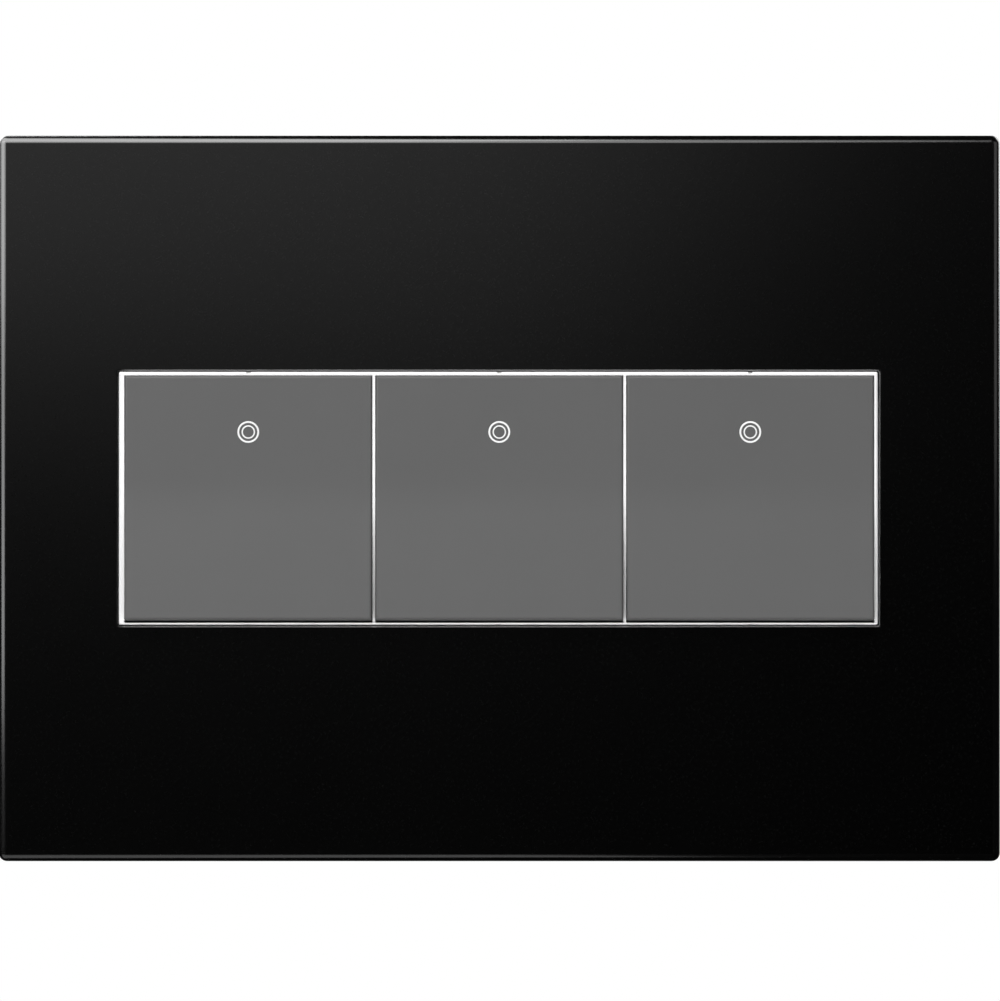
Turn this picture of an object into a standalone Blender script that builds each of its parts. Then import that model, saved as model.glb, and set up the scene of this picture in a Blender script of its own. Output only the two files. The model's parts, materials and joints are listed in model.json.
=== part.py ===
"""Three-gang rocker switch behind a screwless snap-on wall plate.

X runs to the right, Y into the wall and Z up. The origin is the centre of the plate in the
plane of the wall, so everything with a negative y stands in front of the wall. Each of the
three switch modules is modelled in its own frame, around an empty at its centre.
"""

import math

import bmesh
import bpy
from mathutils import Matrix, Vector

MM = 0.001

# Cover plate: a shallow box, open at the back, with one window for all three modules.
COVER_WIDTH = 179.8 * MM
COVER_HEIGHT = 130.3 * MM
COVER_DEPTH = 10.0 * MM
COVER_FRONT_WALL = 2.2 * MM
COVER_SIDE_WALL = 2.0 * MM
COVER_CORNER = 1.5 * MM
COVER_FILLET = 1.2 * MM
WINDOW_WIDTH = 137.2 * MM
WINDOW_HEIGHT = 46.3 * MM

# Friction tongues on the cover, and the finger pairs on the frame that grip them.
TONGUE_X = 66.0 * MM
TONGUE_Z = 50.0 * MM
TONGUE_WIDTH = 8.0 * MM
TONGUE_THICKNESS = 1.6 * MM
TONGUE_END_Y = -3.2 * MM
FINGER_WIDTH = 6.0 * MM
FINGER_THICKNESS = 0.9 * MM
FINGER_END_Y = -6.8 * MM

# Bright trim that frames the three paddles; it is clipped into the window and leaves with it.
TRIM_WIDTH = 136.6 * MM
TRIM_HEIGHT = 45.7 * MM
TRIM_FRONT_Y = -10.3 * MM
TRIM_BACK_Y = -7.0 * MM
TRIM_CHAMFER = 0.55 * MM
TRIM_OPENING_WIDTH = 44.5 * MM
TRIM_OPENING_HEIGHT = 44.1 * MM
TRIM_FLANGE_OVERLAP = 2.1 * MM
TRIM_FLANGE_THICKNESS = 0.8 * MM
TRIM_NOTCH_WIDTH = 0.8 * MM
TRIM_NOTCH_DEPTH = 0.3 * MM

# Switch modules: 45 mm square, side by side.
MODULE_PITCH = 45.0 * MM
MODULE_COUNT = 3

# Steel mounting frame, screwed to a three-gang wall box.
FRAME_WIDTH = 168.0 * MM
FRAME_HEIGHT = 112.0 * MM
FRAME_THICKNESS = 2.0 * MM
FRAME_CORNER = 3.0 * MM
FRAME_RIM_DEPTH = 2.6 * MM
FRAME_RIM_THICKNESS = 1.4 * MM
FRAME_OPENING_WIDTH = 40.6 * MM
FRAME_OPENING_HEIGHT = 41.0 * MM
GANG_PITCH = 46.04 * MM
BOX_SCREW_SPACING = 83.34 * MM
BOX_SLOT_WIDTH = 7.0 * MM
BOX_SLOT_HEIGHT = 4.2 * MM

# Box screws: oval head, straight slot.
BOX_SCREW_HEAD_RADIUS = 3.45 * MM
BOX_SCREW_HEAD_HEIGHT = 2.0 * MM
BOX_SCREW_RADIUS = 1.75 * MM
BOX_SCREW_LENGTH = 25.0 * MM

# Paddle: a shallow V across its middle, rocking about a pivot behind the face.
PADDLE_WIDTH = 44.3 * MM
PADDLE_HALF_HEIGHT = 21.95 * MM
PADDLE_WALL = 1.8 * MM
PADDLE_CHAMFER = 0.45 * MM
PADDLE_VALLEY_HALF = 3.0 * MM
PADDLE_SKIRT_BACK = 0.8 * MM
PIVOT_Y = -6.2 * MM
VALLEY_DEPTH = 4.4 * MM
HALF_THROW = math.radians(2.75)
LUG_INNER_X = 13.2 * MM
LUG_OUTER_X = 15.0 * MM
LUG_HALF_HEIGHT = 4.0 * MM
LUG_BACK = 1.6 * MM
PIN_RADIUS = 1.2 * MM
PIN_END_X = 17.6 * MM
BOSS_RADIUS = 4.3 * MM
BOSS_BORE_RADIUS = 3.1 * MM
BOSS_BOTTOM = -1.8 * MM
BOSS_END = 10.2 * MM

# Two concentric rings inlaid in the upper half of each paddle.
MARK_HEIGHT = 11.9 * MM
OUTER_RING = (1.625 * MM, 1.955 * MM)
INNER_RING = (0.965 * MM, 1.215 * MM)
RING_DEPTH = 0.35 * MM
GROOVE_DEPTH = 0.42 * MM
GROOVE_PLAY = 0.05 * MM

# Chassis: the front half of a module, in front of the mounting frame.
CHASSIS_HALF_WIDTH = 22.2 * MM
CHASSIS_HALF_HEIGHT = 22.0 * MM
CHASSIS_FRONT_Y = -4.0 * MM
CHASSIS_BACK_Y = -2.3 * MM
CHASSIS_OPENING_HALF = 7.0 * MM
UPRIGHT_X = (15.4 * MM, 17.0 * MM)
UPRIGHT_HALF_HEIGHT = 4.5 * MM
UPRIGHT_FRONT_Y = -8.4 * MM
PIN_PLAY = 0.3 * MM
HOOK_X = (19.3 * MM, 20.0 * MM)
HOOK_Z = (5.5 * MM, 10.5 * MM)
HOOK_END_Y = 3.0 * MM
BARB_X = 20.9 * MM
BARB_Y = (0.4 * MM, 2.0 * MM)
BAIL_Z = (19.5 * MM, 20.2 * MM)
BAIL_HALF_WIDTH = 4.0 * MM
BAIL_END_Y = 6.0 * MM
BAIL_SLOT_Y = (3.2 * MM, 5.2 * MM)
BAIL_SLOT_HALF_WIDTH = 2.4 * MM

# Housing: the cup behind the mounting frame that holds the contacts.
HOUSING_HALF_WIDTH = 19.0 * MM
HOUSING_HALF_HEIGHT = 19.2 * MM
HOUSING_FRONT_Y = -2.0 * MM
HOUSING_BACK_Y = 26.0 * MM
HOUSING_WALL = 1.6 * MM
HOUSING_EDGE = 0.8 * MM
TOOTH_HALF_WIDTH = 2.0 * MM
TOOTH_TOP_Z = 20.0 * MM
TOOTH_Y = (3.6 * MM, 4.8 * MM)
RIB_X = (8.0 * MM, 9.0 * MM)
RIB_FRONT_Y = 15.0 * MM

# Spring and plunger in the paddle's boss, measured from the paddle's pivot.
SPRING_RADIUS = 2.4 * MM
SPRING_WIRE_RADIUS = 0.3 * MM
SPRING_START = -1.1 * MM
SPRING_END = 6.3 * MM
SPRING_TURNS = 4
SPRING_POINTS_PER_TURN = 8
PLUNGER_STEM_RADIUS = 1.6 * MM
PLUNGER_STEM_START = 0.5 * MM
PLUNGER_SHOULDER = 7.0 * MM
PLUNGER_RADIUS = 2.8 * MM
PLUNGER_TIP = 14.5 * MM

# Contact arm: a see-saw that the plunger tips over.
ARM_Y = 10.0 * MM
ARM_HALF_SWING = math.radians(4.0)
ARM_HALF_WIDTH = 3.0 * MM
ARM_HALF_LENGTH = 14.0 * MM
ARM_BARREL_RADIUS = 1.2 * MM
ARM_BARREL_HALF = 4.7 * MM
CONTACT_Z = 12.0 * MM
CONTACT_RADIUS = 1.5 * MM
ARM_CONTACT_BACK = 1.2 * MM
FIXED_CONTACT_FRONT_Y = 12.45 * MM

# Terminals: bent brass strips, each with a binding screw behind the housing.
STRIP = 0.8 * MM
TERMINAL_WIDTH = 7.0 * MM
TERMINAL_FRONT_Y = 13.6 * MM
TERMINAL_PAD_Y = HOUSING_BACK_Y + 0.7 * MM
TERMINAL_LEG_Z = 16.1 * MM
TERMINAL_SCREW_Z = 11.9 * MM
COMMON_LEG_Z = -4.2 * MM
COMMON_SCREW_Z = 0.2 * MM
COMMON_WIDTH = 8.0 * MM
EAR_X = (3.3 * MM, 4.1 * MM)
EAR_HALF_HEIGHT = 2.6 * MM
EAR_FRONT_Y = 8.0 * MM
SLOT_PLAY = 0.35 * MM
BINDING_HEAD_RADIUS = 3.2 * MM
BINDING_HEAD_HEIGHT = 1.8 * MM
BINDING_RADIUS = 1.75 * MM
BINDING_LENGTH = 7.4 * MM
HOLE_PLAY = 0.3 * MM

# Earth strap from the steel frame to a green screw under the housing.
STRAP_X = 10.0 * MM
STRAP_FOOT_Z = -25.5 * MM
STRAP_LEG_Z = -19.9 * MM
STRAP_FOOT_Y = 0.7 * MM
STRAP_END_Y = 12.0 * MM
EARTH_SCREW_Y = 7.5 * MM
EARTH_HEAD_RADIUS = 2.9 * MM
EARTH_RADIUS = 1.5 * MM
EARTH_LENGTH = 6.1 * MM

TOUCH_GAP = 0.3 * MM
OVERLAP = 0.1 * MM
THROUGH = 1.0 * MM
ROUND_SIDES = 16
SCREW_SIDES = 12
RING_SIDES = 16
MERGE = 0.00001


def clear_scene():
    for item in list(bpy.data.objects):
        bpy.data.objects.remove(item, do_unlink=True)


def new_collection(name):
    collection = bpy.data.collections.new(name)
    bpy.context.scene.collection.children.link(collection)
    return collection


def make_material(name, colour, roughness, metallic):
    material = bpy.data.materials.new(name)
    material.use_nodes = True
    shader = material.node_tree.nodes["Principled BSDF"]
    shader.inputs["Base Color"].default_value = (*colour, 1.0)
    shader.inputs["Roughness"].default_value = roughness
    shader.inputs["Metallic"].default_value = metallic
    return material


clear_scene()
PARTS = new_collection("three_gang_rocker_switch")
CUTTERS = new_collection("cutters")

BLACK_PLASTIC = make_material("satin_black_plastic", (0.012, 0.012, 0.012), 0.45, 0.0)
BRIGHT_TRIM = make_material("bright_satin_trim", (0.85, 0.85, 0.85), 0.3, 0.9)
GREY_PLASTIC = make_material("grey_plastic", (0.14, 0.14, 0.14), 0.45, 0.0)
WHITE_INLAY = make_material("white_inlay", (0.85, 0.85, 0.85), 0.5, 0.0)
DARK_MOULDING = make_material("dark_moulding", (0.05, 0.05, 0.055), 0.5, 0.0)
CREAM_MOULDING = make_material("cream_moulding", (0.55, 0.52, 0.45), 0.5, 0.0)
ZINC_STEEL = make_material("zinc_plated_steel", (0.55, 0.56, 0.58), 0.35, 1.0)
BRASS = make_material("brass", (0.75, 0.55, 0.25), 0.3, 1.0)
SPRING_STEEL = make_material("spring_steel", (0.45, 0.45, 0.46), 0.3, 1.0)
EARTH_GREEN = make_material("green_dyed_steel", (0.05, 0.35, 0.12), 0.35, 0.8)


# ---- shapes -------------------------------------------------------------------------------

def mesh_from(shape, name):
    """The finished mesh of a bmesh, with its faces pointing outwards."""
    bmesh.ops.recalc_face_normals(shape, faces=shape.faces)
    mesh = bpy.data.meshes.new(name)
    shape.to_mesh(mesh)
    shape.free()
    return mesh


def block_shape(spans):
    """Separate boxes, each given by its (low, high) spans along X, Y and Z."""
    shape = bmesh.new()
    for box in spans:
        centre = Vector([(low + high) / 2 for low, high in box])
        size = Vector([high - low for low, high in box])
        place = Matrix.Translation(centre) @ Matrix.Diagonal(size).to_4x4()
        bmesh.ops.create_cube(shape, size=1.0, matrix=place)
    return shape


def blocks(name, spans):
    return mesh_from(block_shape(spans), name)


def rods(name, runs, sides=ROUND_SIDES):
    """Separate round bars, each given by its two end points and its radius."""
    shape = bmesh.new()
    for start, end, radius in runs:
        along = Vector(end) - Vector(start)
        turn = along.to_track_quat("Z", "Y").to_matrix().to_4x4()
        place = Matrix.Translation((Vector(start) + Vector(end)) / 2) @ turn
        bmesh.ops.create_cone(shape, cap_ends=True, segments=sides, radius1=radius,
                              radius2=radius, depth=along.length, matrix=place)
    return mesh_from(shape, name)


def prism(name, outline, half_width):
    """A flat outline of (y, z) points, extruded along X to both sides of x = 0."""
    curve = bpy.data.curves.new(name, "CURVE")
    curve.dimensions = "2D"
    curve.fill_mode = "BOTH"
    curve.extrude = half_width
    line = curve.splines.new("POLY")
    line.points.add(len(outline) - 1)
    for point, (across, up) in zip(line.points, outline):
        point.co = (across, up, 0.0, 1.0)
    line.use_cyclic_u = True
    guide = bpy.data.objects.new(name, curve)
    bpy.context.scene.collection.objects.link(guide)
    bpy.context.view_layer.update()
    mesh = bpy.data.meshes.new_from_object(guide.evaluated_get(bpy.context.evaluated_depsgraph_get()))
    bpy.data.objects.remove(guide)
    shape = bmesh.new()
    shape.from_mesh(mesh)
    bmesh.ops.remove_doubles(shape, verts=shape.verts, dist=MERGE)
    curve_to_part = Matrix(((0, 0, 1, 0), (1, 0, 0, 0), (0, 1, 0, 0), (0, 0, 0, 1)))
    bmesh.ops.transform(shape, matrix=curve_to_part, verts=shape.verts)
    return shape


def strip_surface(name, path, width):
    """An open ribbon along (y, z) points; Solidify gives it the thickness of the sheet."""
    shape = bmesh.new()
    corners = [shape.verts.new((-width / 2, across, up)) for across, up in path]
    edges = [shape.edges.new(pair) for pair in zip(corners, corners[1:])]
    swept = bmesh.ops.extrude_edge_only(shape, edges=edges)["geom"]
    moved = [item for item in swept if isinstance(item, bmesh.types.BMVert)]
    bmesh.ops.translate(shape, verts=moved, vec=(width, 0.0, 0.0))
    return mesh_from(shape, name)


def profile_mesh(name, profile, closed):
    """A profile of (radius, height) points in the XZ plane, for a Screw modifier."""
    shape = bmesh.new()
    points = [shape.verts.new((radius, 0.0, height)) for radius, height in profile]
    for pair in zip(points, points[1:]):
        shape.edges.new(pair)
    if closed:
        shape.edges.new((points[-1], points[0]))
    mesh = bpy.data.meshes.new(name)
    shape.to_mesh(mesh)
    shape.free()
    return mesh


def bevel_chosen(shape, chosen, width, segments):
    """Round or chamfer the edges that a test picks by their two end points."""
    edges = [edge for edge in shape.edges if chosen(edge.verts[0].co, edge.verts[1].co)]
    bmesh.ops.bevel(shape, geom=edges, offset=width, segments=segments, profile=0.5,
                    affect="EDGES", clamp_overlap=True)


# ---- objects ------------------------------------------------------------------------------

def add_part(name, mesh, material, parent=None, location=(0, 0, 0), rotation=(0, 0, 0)):
    part = bpy.data.objects.new(name, mesh)
    part.data.materials.append(material)
    part.parent = parent
    part.location = location
    part.rotation_euler = rotation
    PARTS.objects.link(part)
    return part


def add_tool(name, mesh, parent=None, location=(0, 0, 0), rotation=(0, 0, 0)):
    """A shape that only cuts a part or is joined to one."""
    tool = bpy.data.objects.new(name, mesh)
    tool.parent = parent
    tool.location = location
    tool.rotation_euler = rotation
    tool.hide_render = True
    tool.display_type = "WIRE"
    CUTTERS.objects.link(tool)
    return tool


def add_empty(name, parent=None, location=(0, 0, 0), rotation=(0, 0, 0)):
    empty = bpy.data.objects.new(name, None)
    empty.empty_display_size = 5 * MM
    empty.parent = parent
    empty.location = location
    empty.rotation_euler = rotation
    PARTS.objects.link(empty)
    return empty


def combine(part, tool, operation):
    boolean = part.modifiers.new(tool.name, "BOOLEAN")
    boolean.operation = operation
    boolean.object = tool
    boolean.solver = "EXACT"


def cut(part, label, mesh, location=(0, 0, 0), rotation=(0, 0, 0)):
    tool = add_tool(part.name + "_" + label, mesh, part.parent, location, rotation)
    combine(part, tool, "DIFFERENCE")


def join(part, label, mesh):
    tool = add_tool(part.name + "_" + label, mesh, part.parent)
    combine(part, tool, "UNION")


def turn(part, sides):
    screw = part.modifiers.new("turned", "SCREW")
    screw.steps = sides
    screw.render_steps = sides
    screw.use_merge_vertices = True
    screw.merge_threshold = MERGE
    screw.use_smooth_shade = True


def thicken(part, thickness):
    sheet = part.modifiers.new("sheet", "SOLIDIFY")
    sheet.thickness = thickness
    sheet.offset = 0.0
    sheet.use_even_offset = True


def both_signs(span):
    low, high = span
    return [(-high, -low), (low, high)]


def add_screw(name, material, parent, location, rotation, head, shank, slot_width):
    """A slotted screw along its own Z, with the underside of its head at z = 0."""
    head_radius, head_height = head
    shank_radius, length = shank
    tip = shank_radius * 0.6
    profile = [
        (0.0, head_height),
        (head_radius * 0.6, head_height * 0.92),
        (head_radius * 0.92, head_height * 0.6),
        (head_radius, head_height * 0.2),
        (head_radius, 0.0),
        (shank_radius, 0.0),
        (shank_radius, tip - length),
        (shank_radius - tip, -length),
        (0.0, -length),
    ]
    screw = add_part(name, profile_mesh(name, profile, False), material, parent, location, rotation)
    turn(screw, SCREW_SIDES)
    slot = [((-2 * head_radius, 2 * head_radius), (-slot_width / 2, slot_width / 2),
             (head_height * 0.5, 2 * head_height))]
    tool = add_tool(name + "_drive_slot", blocks(name + "_drive_slot", slot), screw)
    combine(screw, tool, "DIFFERENCE")
    return screw


# ---- cover, trim and frame ------------------------------------------------------------------

def centred(size):
    return (-size / 2, size / 2)


def cover_plate():
    shape = block_shape([(centred(COVER_WIDTH), (-COVER_DEPTH, 0.0), centred(COVER_HEIGHT))])
    bevel_chosen(shape, lambda a, b: abs(a.y - b.y) > COVER_DEPTH / 2, COVER_CORNER, 4)
    bevel_chosen(shape, lambda a, b: max(a.y, b.y) < -COVER_DEPTH + OVERLAP, COVER_FILLET, 3)
    cover = add_part("cover_plate", mesh_from(shape, "cover_plate"), BLACK_PLASTIC)
    inner_width = COVER_WIDTH - 2 * COVER_SIDE_WALL
    inner_height = COVER_HEIGHT - 2 * COVER_SIDE_WALL
    inner_front = -COVER_DEPTH + COVER_FRONT_WALL
    hollow = [(centred(inner_width), (inner_front, THROUGH), centred(inner_height))]
    cut(cover, "hollow", blocks("cover_hollow", hollow))
    window = [(centred(WINDOW_WIDTH), (-COVER_DEPTH - THROUGH, inner_front + THROUGH),
               centred(WINDOW_HEIGHT))]
    cut(cover, "window", blocks("cover_window", window))
    tongues = []
    for side in (-1, 1):
        for level in (-1, 1):
            middle_x = side * TONGUE_X
            middle_z = level * TONGUE_Z
            tongues.append(((middle_x - TONGUE_WIDTH / 2, middle_x + TONGUE_WIDTH / 2),
                            (inner_front - OVERLAP, TONGUE_END_Y),
                            (middle_z - TONGUE_THICKNESS / 2, middle_z + TONGUE_THICKNESS / 2)))
    join(cover, "tongues", blocks("cover_tongues", tongues))


def trim_frame():
    shape = block_shape([(centred(TRIM_WIDTH), (TRIM_FRONT_Y, TRIM_BACK_Y), centred(TRIM_HEIGHT))])
    bevel_chosen(shape, lambda a, b: max(a.y, b.y) < TRIM_FRONT_Y + OVERLAP, TRIM_CHAMFER, 1)
    trim = add_part("trim_frame", mesh_from(shape, "trim_frame"), BRIGHT_TRIM)
    flange_front = TRIM_BACK_Y - TRIM_FLANGE_THICKNESS / 2
    flange = [(centred(TRIM_WIDTH + 2 * TRIM_FLANGE_OVERLAP),
               (flange_front, flange_front + TRIM_FLANGE_THICKNESS),
               centred(TRIM_HEIGHT + 2 * TRIM_FLANGE_OVERLAP))]
    join(trim, "flange", blocks("trim_flange", flange))
    openings = []
    notches = []
    for centre in module_centres():
        openings.append(((centre - TRIM_OPENING_WIDTH / 2, centre + TRIM_OPENING_WIDTH / 2),
                         (TRIM_FRONT_Y - THROUGH, TRIM_BACK_Y + 2 * THROUGH),
                         centred(TRIM_OPENING_HEIGHT)))
        for level in (-1, 1):
            edge = level * TRIM_HEIGHT / 2
            notches.append(((centre - TRIM_NOTCH_WIDTH / 2, centre + TRIM_NOTCH_WIDTH / 2),
                            (TRIM_FRONT_Y - THROUGH, TRIM_FRONT_Y + TRIM_NOTCH_WIDTH),
                            (edge - TRIM_NOTCH_DEPTH, edge + TRIM_NOTCH_DEPTH)))
    cut(trim, "openings", blocks("trim_openings", openings))
    cut(trim, "notches", blocks("trim_notches", notches))


def mounting_frame():
    shape = block_shape([(centred(FRAME_WIDTH), (-FRAME_THICKNESS, 0.0), centred(FRAME_HEIGHT))])
    bevel_chosen(shape, lambda a, b: abs(a.y - b.y) > FRAME_THICKNESS / 2, FRAME_CORNER, 3)
    frame = add_part("mounting_frame", mesh_from(shape, "mounting_frame"), ZINC_STEEL)
    rim_front = -FRAME_THICKNESS - FRAME_RIM_DEPTH
    half_width = FRAME_WIDTH / 2 - FRAME_CORNER
    half_height = FRAME_HEIGHT / 2 - FRAME_CORNER
    rails = []
    for side in (-1, 1):
        outer = side * FRAME_WIDTH / 2
        inner = outer - side * FRAME_RIM_THICKNESS
        rails.append((tuple(sorted((inner, outer))), (rim_front, OVERLAP - FRAME_THICKNESS),
                      (-half_height, half_height)))
        outer = side * FRAME_HEIGHT / 2
        inner = outer - side * FRAME_RIM_THICKNESS
        rails.append(((-half_width, half_width), (rim_front, OVERLAP - FRAME_THICKNESS),
                      tuple(sorted((inner, outer)))))
    join(frame, "rails", blocks("frame_rails", rails))
    grip = TONGUE_THICKNESS / 2 + TOUCH_GAP
    fingers = []
    for side in (-1, 1):
        for level in (-1, 1):
            for low in (level * TONGUE_Z + grip, level * TONGUE_Z - grip - FINGER_THICKNESS):
                fingers.append(((side * TONGUE_X - FINGER_WIDTH / 2, side * TONGUE_X + FINGER_WIDTH / 2),
                                (FINGER_END_Y, OVERLAP - FRAME_THICKNESS),
                                (low, low + FINGER_THICKNESS)))
    join(frame, "fingers", blocks("frame_fingers", fingers))
    openings = [((centre - FRAME_OPENING_WIDTH / 2, centre + FRAME_OPENING_WIDTH / 2),
                 (-FRAME_THICKNESS - THROUGH, THROUGH), centred(FRAME_OPENING_HEIGHT))
                for centre in module_centres()]
    cut(frame, "openings", blocks("frame_openings", openings))
    slots = [((x - BOX_SLOT_WIDTH / 2, x + BOX_SLOT_WIDTH / 2),
              (-FRAME_THICKNESS - THROUGH, THROUGH),
              (z - BOX_SLOT_HEIGHT / 2, z + BOX_SLOT_HEIGHT / 2)) for x, z in box_screw_places()]
    slot_shape = block_shape(slots)
    bevel_chosen(slot_shape, lambda a, b: abs(a.y - b.y) > FRAME_THICKNESS, BOX_SLOT_HEIGHT * 0.49, 3)
    cut(frame, "slots", mesh_from(slot_shape, "frame_slots"))


def module_centres():
    middle = (MODULE_COUNT - 1) / 2
    return [(index - middle) * MODULE_PITCH for index in range(MODULE_COUNT)]


def box_screw_places():
    return [(column * GANG_PITCH, row * BOX_SCREW_SPACING / 2)
            for row in (1, -1) for column in (-1, 0, 1)]


def box_screws():
    head_seat = -FRAME_THICKNESS - TOUCH_GAP
    for number, (x, z) in enumerate(box_screw_places(), 1):
        add_screw("frame_screw_%d" % number, ZINC_STEEL, None, (x, head_seat, z),
                  (math.radians(90), 0, 0), (BOX_SCREW_HEAD_RADIUS, BOX_SCREW_HEAD_HEIGHT),
                  (BOX_SCREW_RADIUS, BOX_SCREW_LENGTH), 0.9 * MM)


# ---- one switch module ----------------------------------------------------------------------

def face_depth(height, depth):
    """How far in front of the pivot the V-shaped face lies, for its height on the paddle."""
    slope = math.tan(HALF_THROW)
    if abs(height) >= PADDLE_VALLEY_HALF:
        return -depth - abs(height) * slope
    softened = height * height / (2 * PADDLE_VALLEY_HALF) + PADDLE_VALLEY_HALF / 2
    return -depth - softened * slope


def paddle(number, pivot):
    slope = math.tan(HALF_THROW)
    end_at_pivot = PADDLE_HALF_HEIGHT / math.cos(HALF_THROW)
    front_end = (end_at_pivot - VALLEY_DEPTH * slope) / (1 + slope * slope)
    back_end = end_at_pivot + PADDLE_SKIRT_BACK * slope
    half_valley = PADDLE_VALLEY_HALF / 2
    heights = [-front_end, -2 * half_valley, -half_valley, 0.0, half_valley, 2 * half_valley, front_end]
    outline = [(face_depth(height, VALLEY_DEPTH), height) for height in heights]
    outline += [(PADDLE_SKIRT_BACK, back_end), (PADDLE_SKIRT_BACK, -back_end)]
    name = "paddle_%d" % number
    shape = prism(name, outline, PADDLE_WIDTH / 2)
    face_limit = -VALLEY_DEPTH + OVERLAP

    def on_face_border(a, b):
        on_face = max(a.y, b.y) < face_limit
        on_side = abs(a.x - b.x) < OVERLAP and abs(a.x) > PADDLE_WIDTH / 2 - OVERLAP
        on_end = min(abs(a.z), abs(b.z)) > front_end - OVERLAP
        return on_face and (on_side or on_end)

    bevel_chosen(shape, on_face_border, PADDLE_CHAMFER, 1)
    part = add_part(name, mesh_from(shape, name), GREY_PLASTIC, pivot)
    inner_depth = VALLEY_DEPTH - PADDLE_WALL
    inner_end = front_end - PADDLE_WALL
    hollow = [(face_depth(-inner_end, inner_depth), -inner_end), (-inner_depth, 0.0),
              (face_depth(inner_end, inner_depth), inner_end),
              (PADDLE_SKIRT_BACK + THROUGH, inner_end), (PADDLE_SKIRT_BACK + THROUGH, -inner_end)]
    inner_half_width = PADDLE_WIDTH / 2 - PADDLE_WALL
    cut(part, "hollow", mesh_from(prism(name + "_hollow", hollow, inner_half_width), name + "_hollow"))
    lugs = [(span, (-inner_depth - OVERLAP * 4, LUG_BACK), (-LUG_HALF_HEIGHT, LUG_HALF_HEIGHT))
            for span in both_signs((LUG_INNER_X, LUG_OUTER_X))]
    join(part, "lugs", blocks(name + "_lugs", lugs))
    pins = [((side * (LUG_OUTER_X - OVERLAP), 0, 0), (side * PIN_END_X, 0, 0), PIN_RADIUS)
            for side in (-1, 1)]
    join(part, "pins", rods(name + "_pins", pins))
    boss = [((0, -inner_depth - OVERLAP * 4, 0), (0, BOSS_END, 0), BOSS_RADIUS)]
    join(part, "boss", rods(name + "_boss", boss))
    bore = [((0, BOSS_BOTTOM, 0), (0, BOSS_END + THROUGH, 0), BOSS_BORE_RADIUS)]
    cut(part, "bore", rods(name + "_bore", bore))
    add_mark_rings(number, pivot, part)


def ring_profile(radii, play, top, depth):
    inner, outer = radii
    return [(outer + play, top), (outer + play, -depth), (inner - play, -depth), (inner - play, top)]


def add_mark_rings(number, pivot, part):
    """The inlaid rings lie in grooves, square to the upper half of the face."""
    face_distance = VALLEY_DEPTH * math.cos(HALF_THROW)
    centre_y = -face_distance * math.cos(HALF_THROW) - MARK_HEIGHT * math.sin(HALF_THROW)
    centre_z = -face_distance * math.sin(HALF_THROW) + MARK_HEIGHT * math.cos(HALF_THROW)
    place = (0.0, centre_y, centre_z)
    facing = (math.radians(90) + HALF_THROW, 0, 0)
    for label, radii in (("outer_ring", OUTER_RING), ("inner_ring", INNER_RING)):
        groove = ring_profile(radii, GROOVE_PLAY, 2 * GROOVE_DEPTH, GROOVE_DEPTH)
        tool = add_tool("%s_groove_%d" % (label, number), profile_mesh(label, groove, True),
                        pivot, place, facing)
        turn(tool, RING_SIDES)
        combine(part, tool, "DIFFERENCE")
        inlay = ring_profile(radii, 0.0, 0.0, RING_DEPTH)
        name = "%s_%d" % (label, number)
        ring = add_part(name, profile_mesh(name, inlay, True), WHITE_INLAY, pivot, place, facing)
        turn(ring, RING_SIDES)


def chassis(number, module):
    name = "chassis_%d" % number
    plate = [((-CHASSIS_HALF_WIDTH, CHASSIS_HALF_WIDTH), (CHASSIS_FRONT_Y, CHASSIS_BACK_Y),
              (-CHASSIS_HALF_HEIGHT, CHASSIS_HALF_HEIGHT))]
    part = add_part(name, blocks(name, plate), DARK_MOULDING, module)
    opening = [((-CHASSIS_OPENING_HALF, CHASSIS_OPENING_HALF),
                (CHASSIS_FRONT_Y - THROUGH, CHASSIS_BACK_Y + THROUGH),
                (-CHASSIS_OPENING_HALF, CHASSIS_OPENING_HALF))]
    cut(part, "opening", blocks(name + "_opening", opening))
    uprights = [(span, (UPRIGHT_FRONT_Y, CHASSIS_FRONT_Y + OVERLAP),
                 (-UPRIGHT_HALF_HEIGHT, UPRIGHT_HALF_HEIGHT)) for span in both_signs(UPRIGHT_X)]
    join(part, "uprights", blocks(name + "_uprights", uprights))
    pin_holes = [((side * (UPRIGHT_X[0] - THROUGH / 2), PIVOT_Y, 0),
                  (side * (UPRIGHT_X[1] + THROUGH / 2), PIVOT_Y, 0), PIN_RADIUS + PIN_PLAY)
                 for side in (-1, 1)]
    cut(part, "pin_holes", rods(name + "_pin_holes", pin_holes))
    hooks = []
    barbs = []
    for side in (-1, 1):
        for level in both_signs(HOOK_Z):
            hook_x = tuple(sorted((side * HOOK_X[0], side * HOOK_X[1])))
            barb_x = tuple(sorted((side * (HOOK_X[1] - OVERLAP), side * BARB_X)))
            hooks.append((hook_x, (CHASSIS_BACK_Y - OVERLAP, HOOK_END_Y), level))
            barbs.append((barb_x, BARB_Y, level))
    for level in both_signs(BAIL_Z):
        hooks.append(((-BAIL_HALF_WIDTH, BAIL_HALF_WIDTH), (CHASSIS_BACK_Y - OVERLAP, BAIL_END_Y), level))
    join(part, "hooks", blocks(name + "_hooks", hooks))
    join(part, "barbs", blocks(name + "_barbs", barbs))
    slot_z = BAIL_Z[1] + THROUGH
    slot = [((-BAIL_SLOT_HALF_WIDTH, BAIL_SLOT_HALF_WIDTH), BAIL_SLOT_Y, (-slot_z, slot_z))]
    cut(part, "bail_slots", blocks(name + "_bail_slots", slot))


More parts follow.
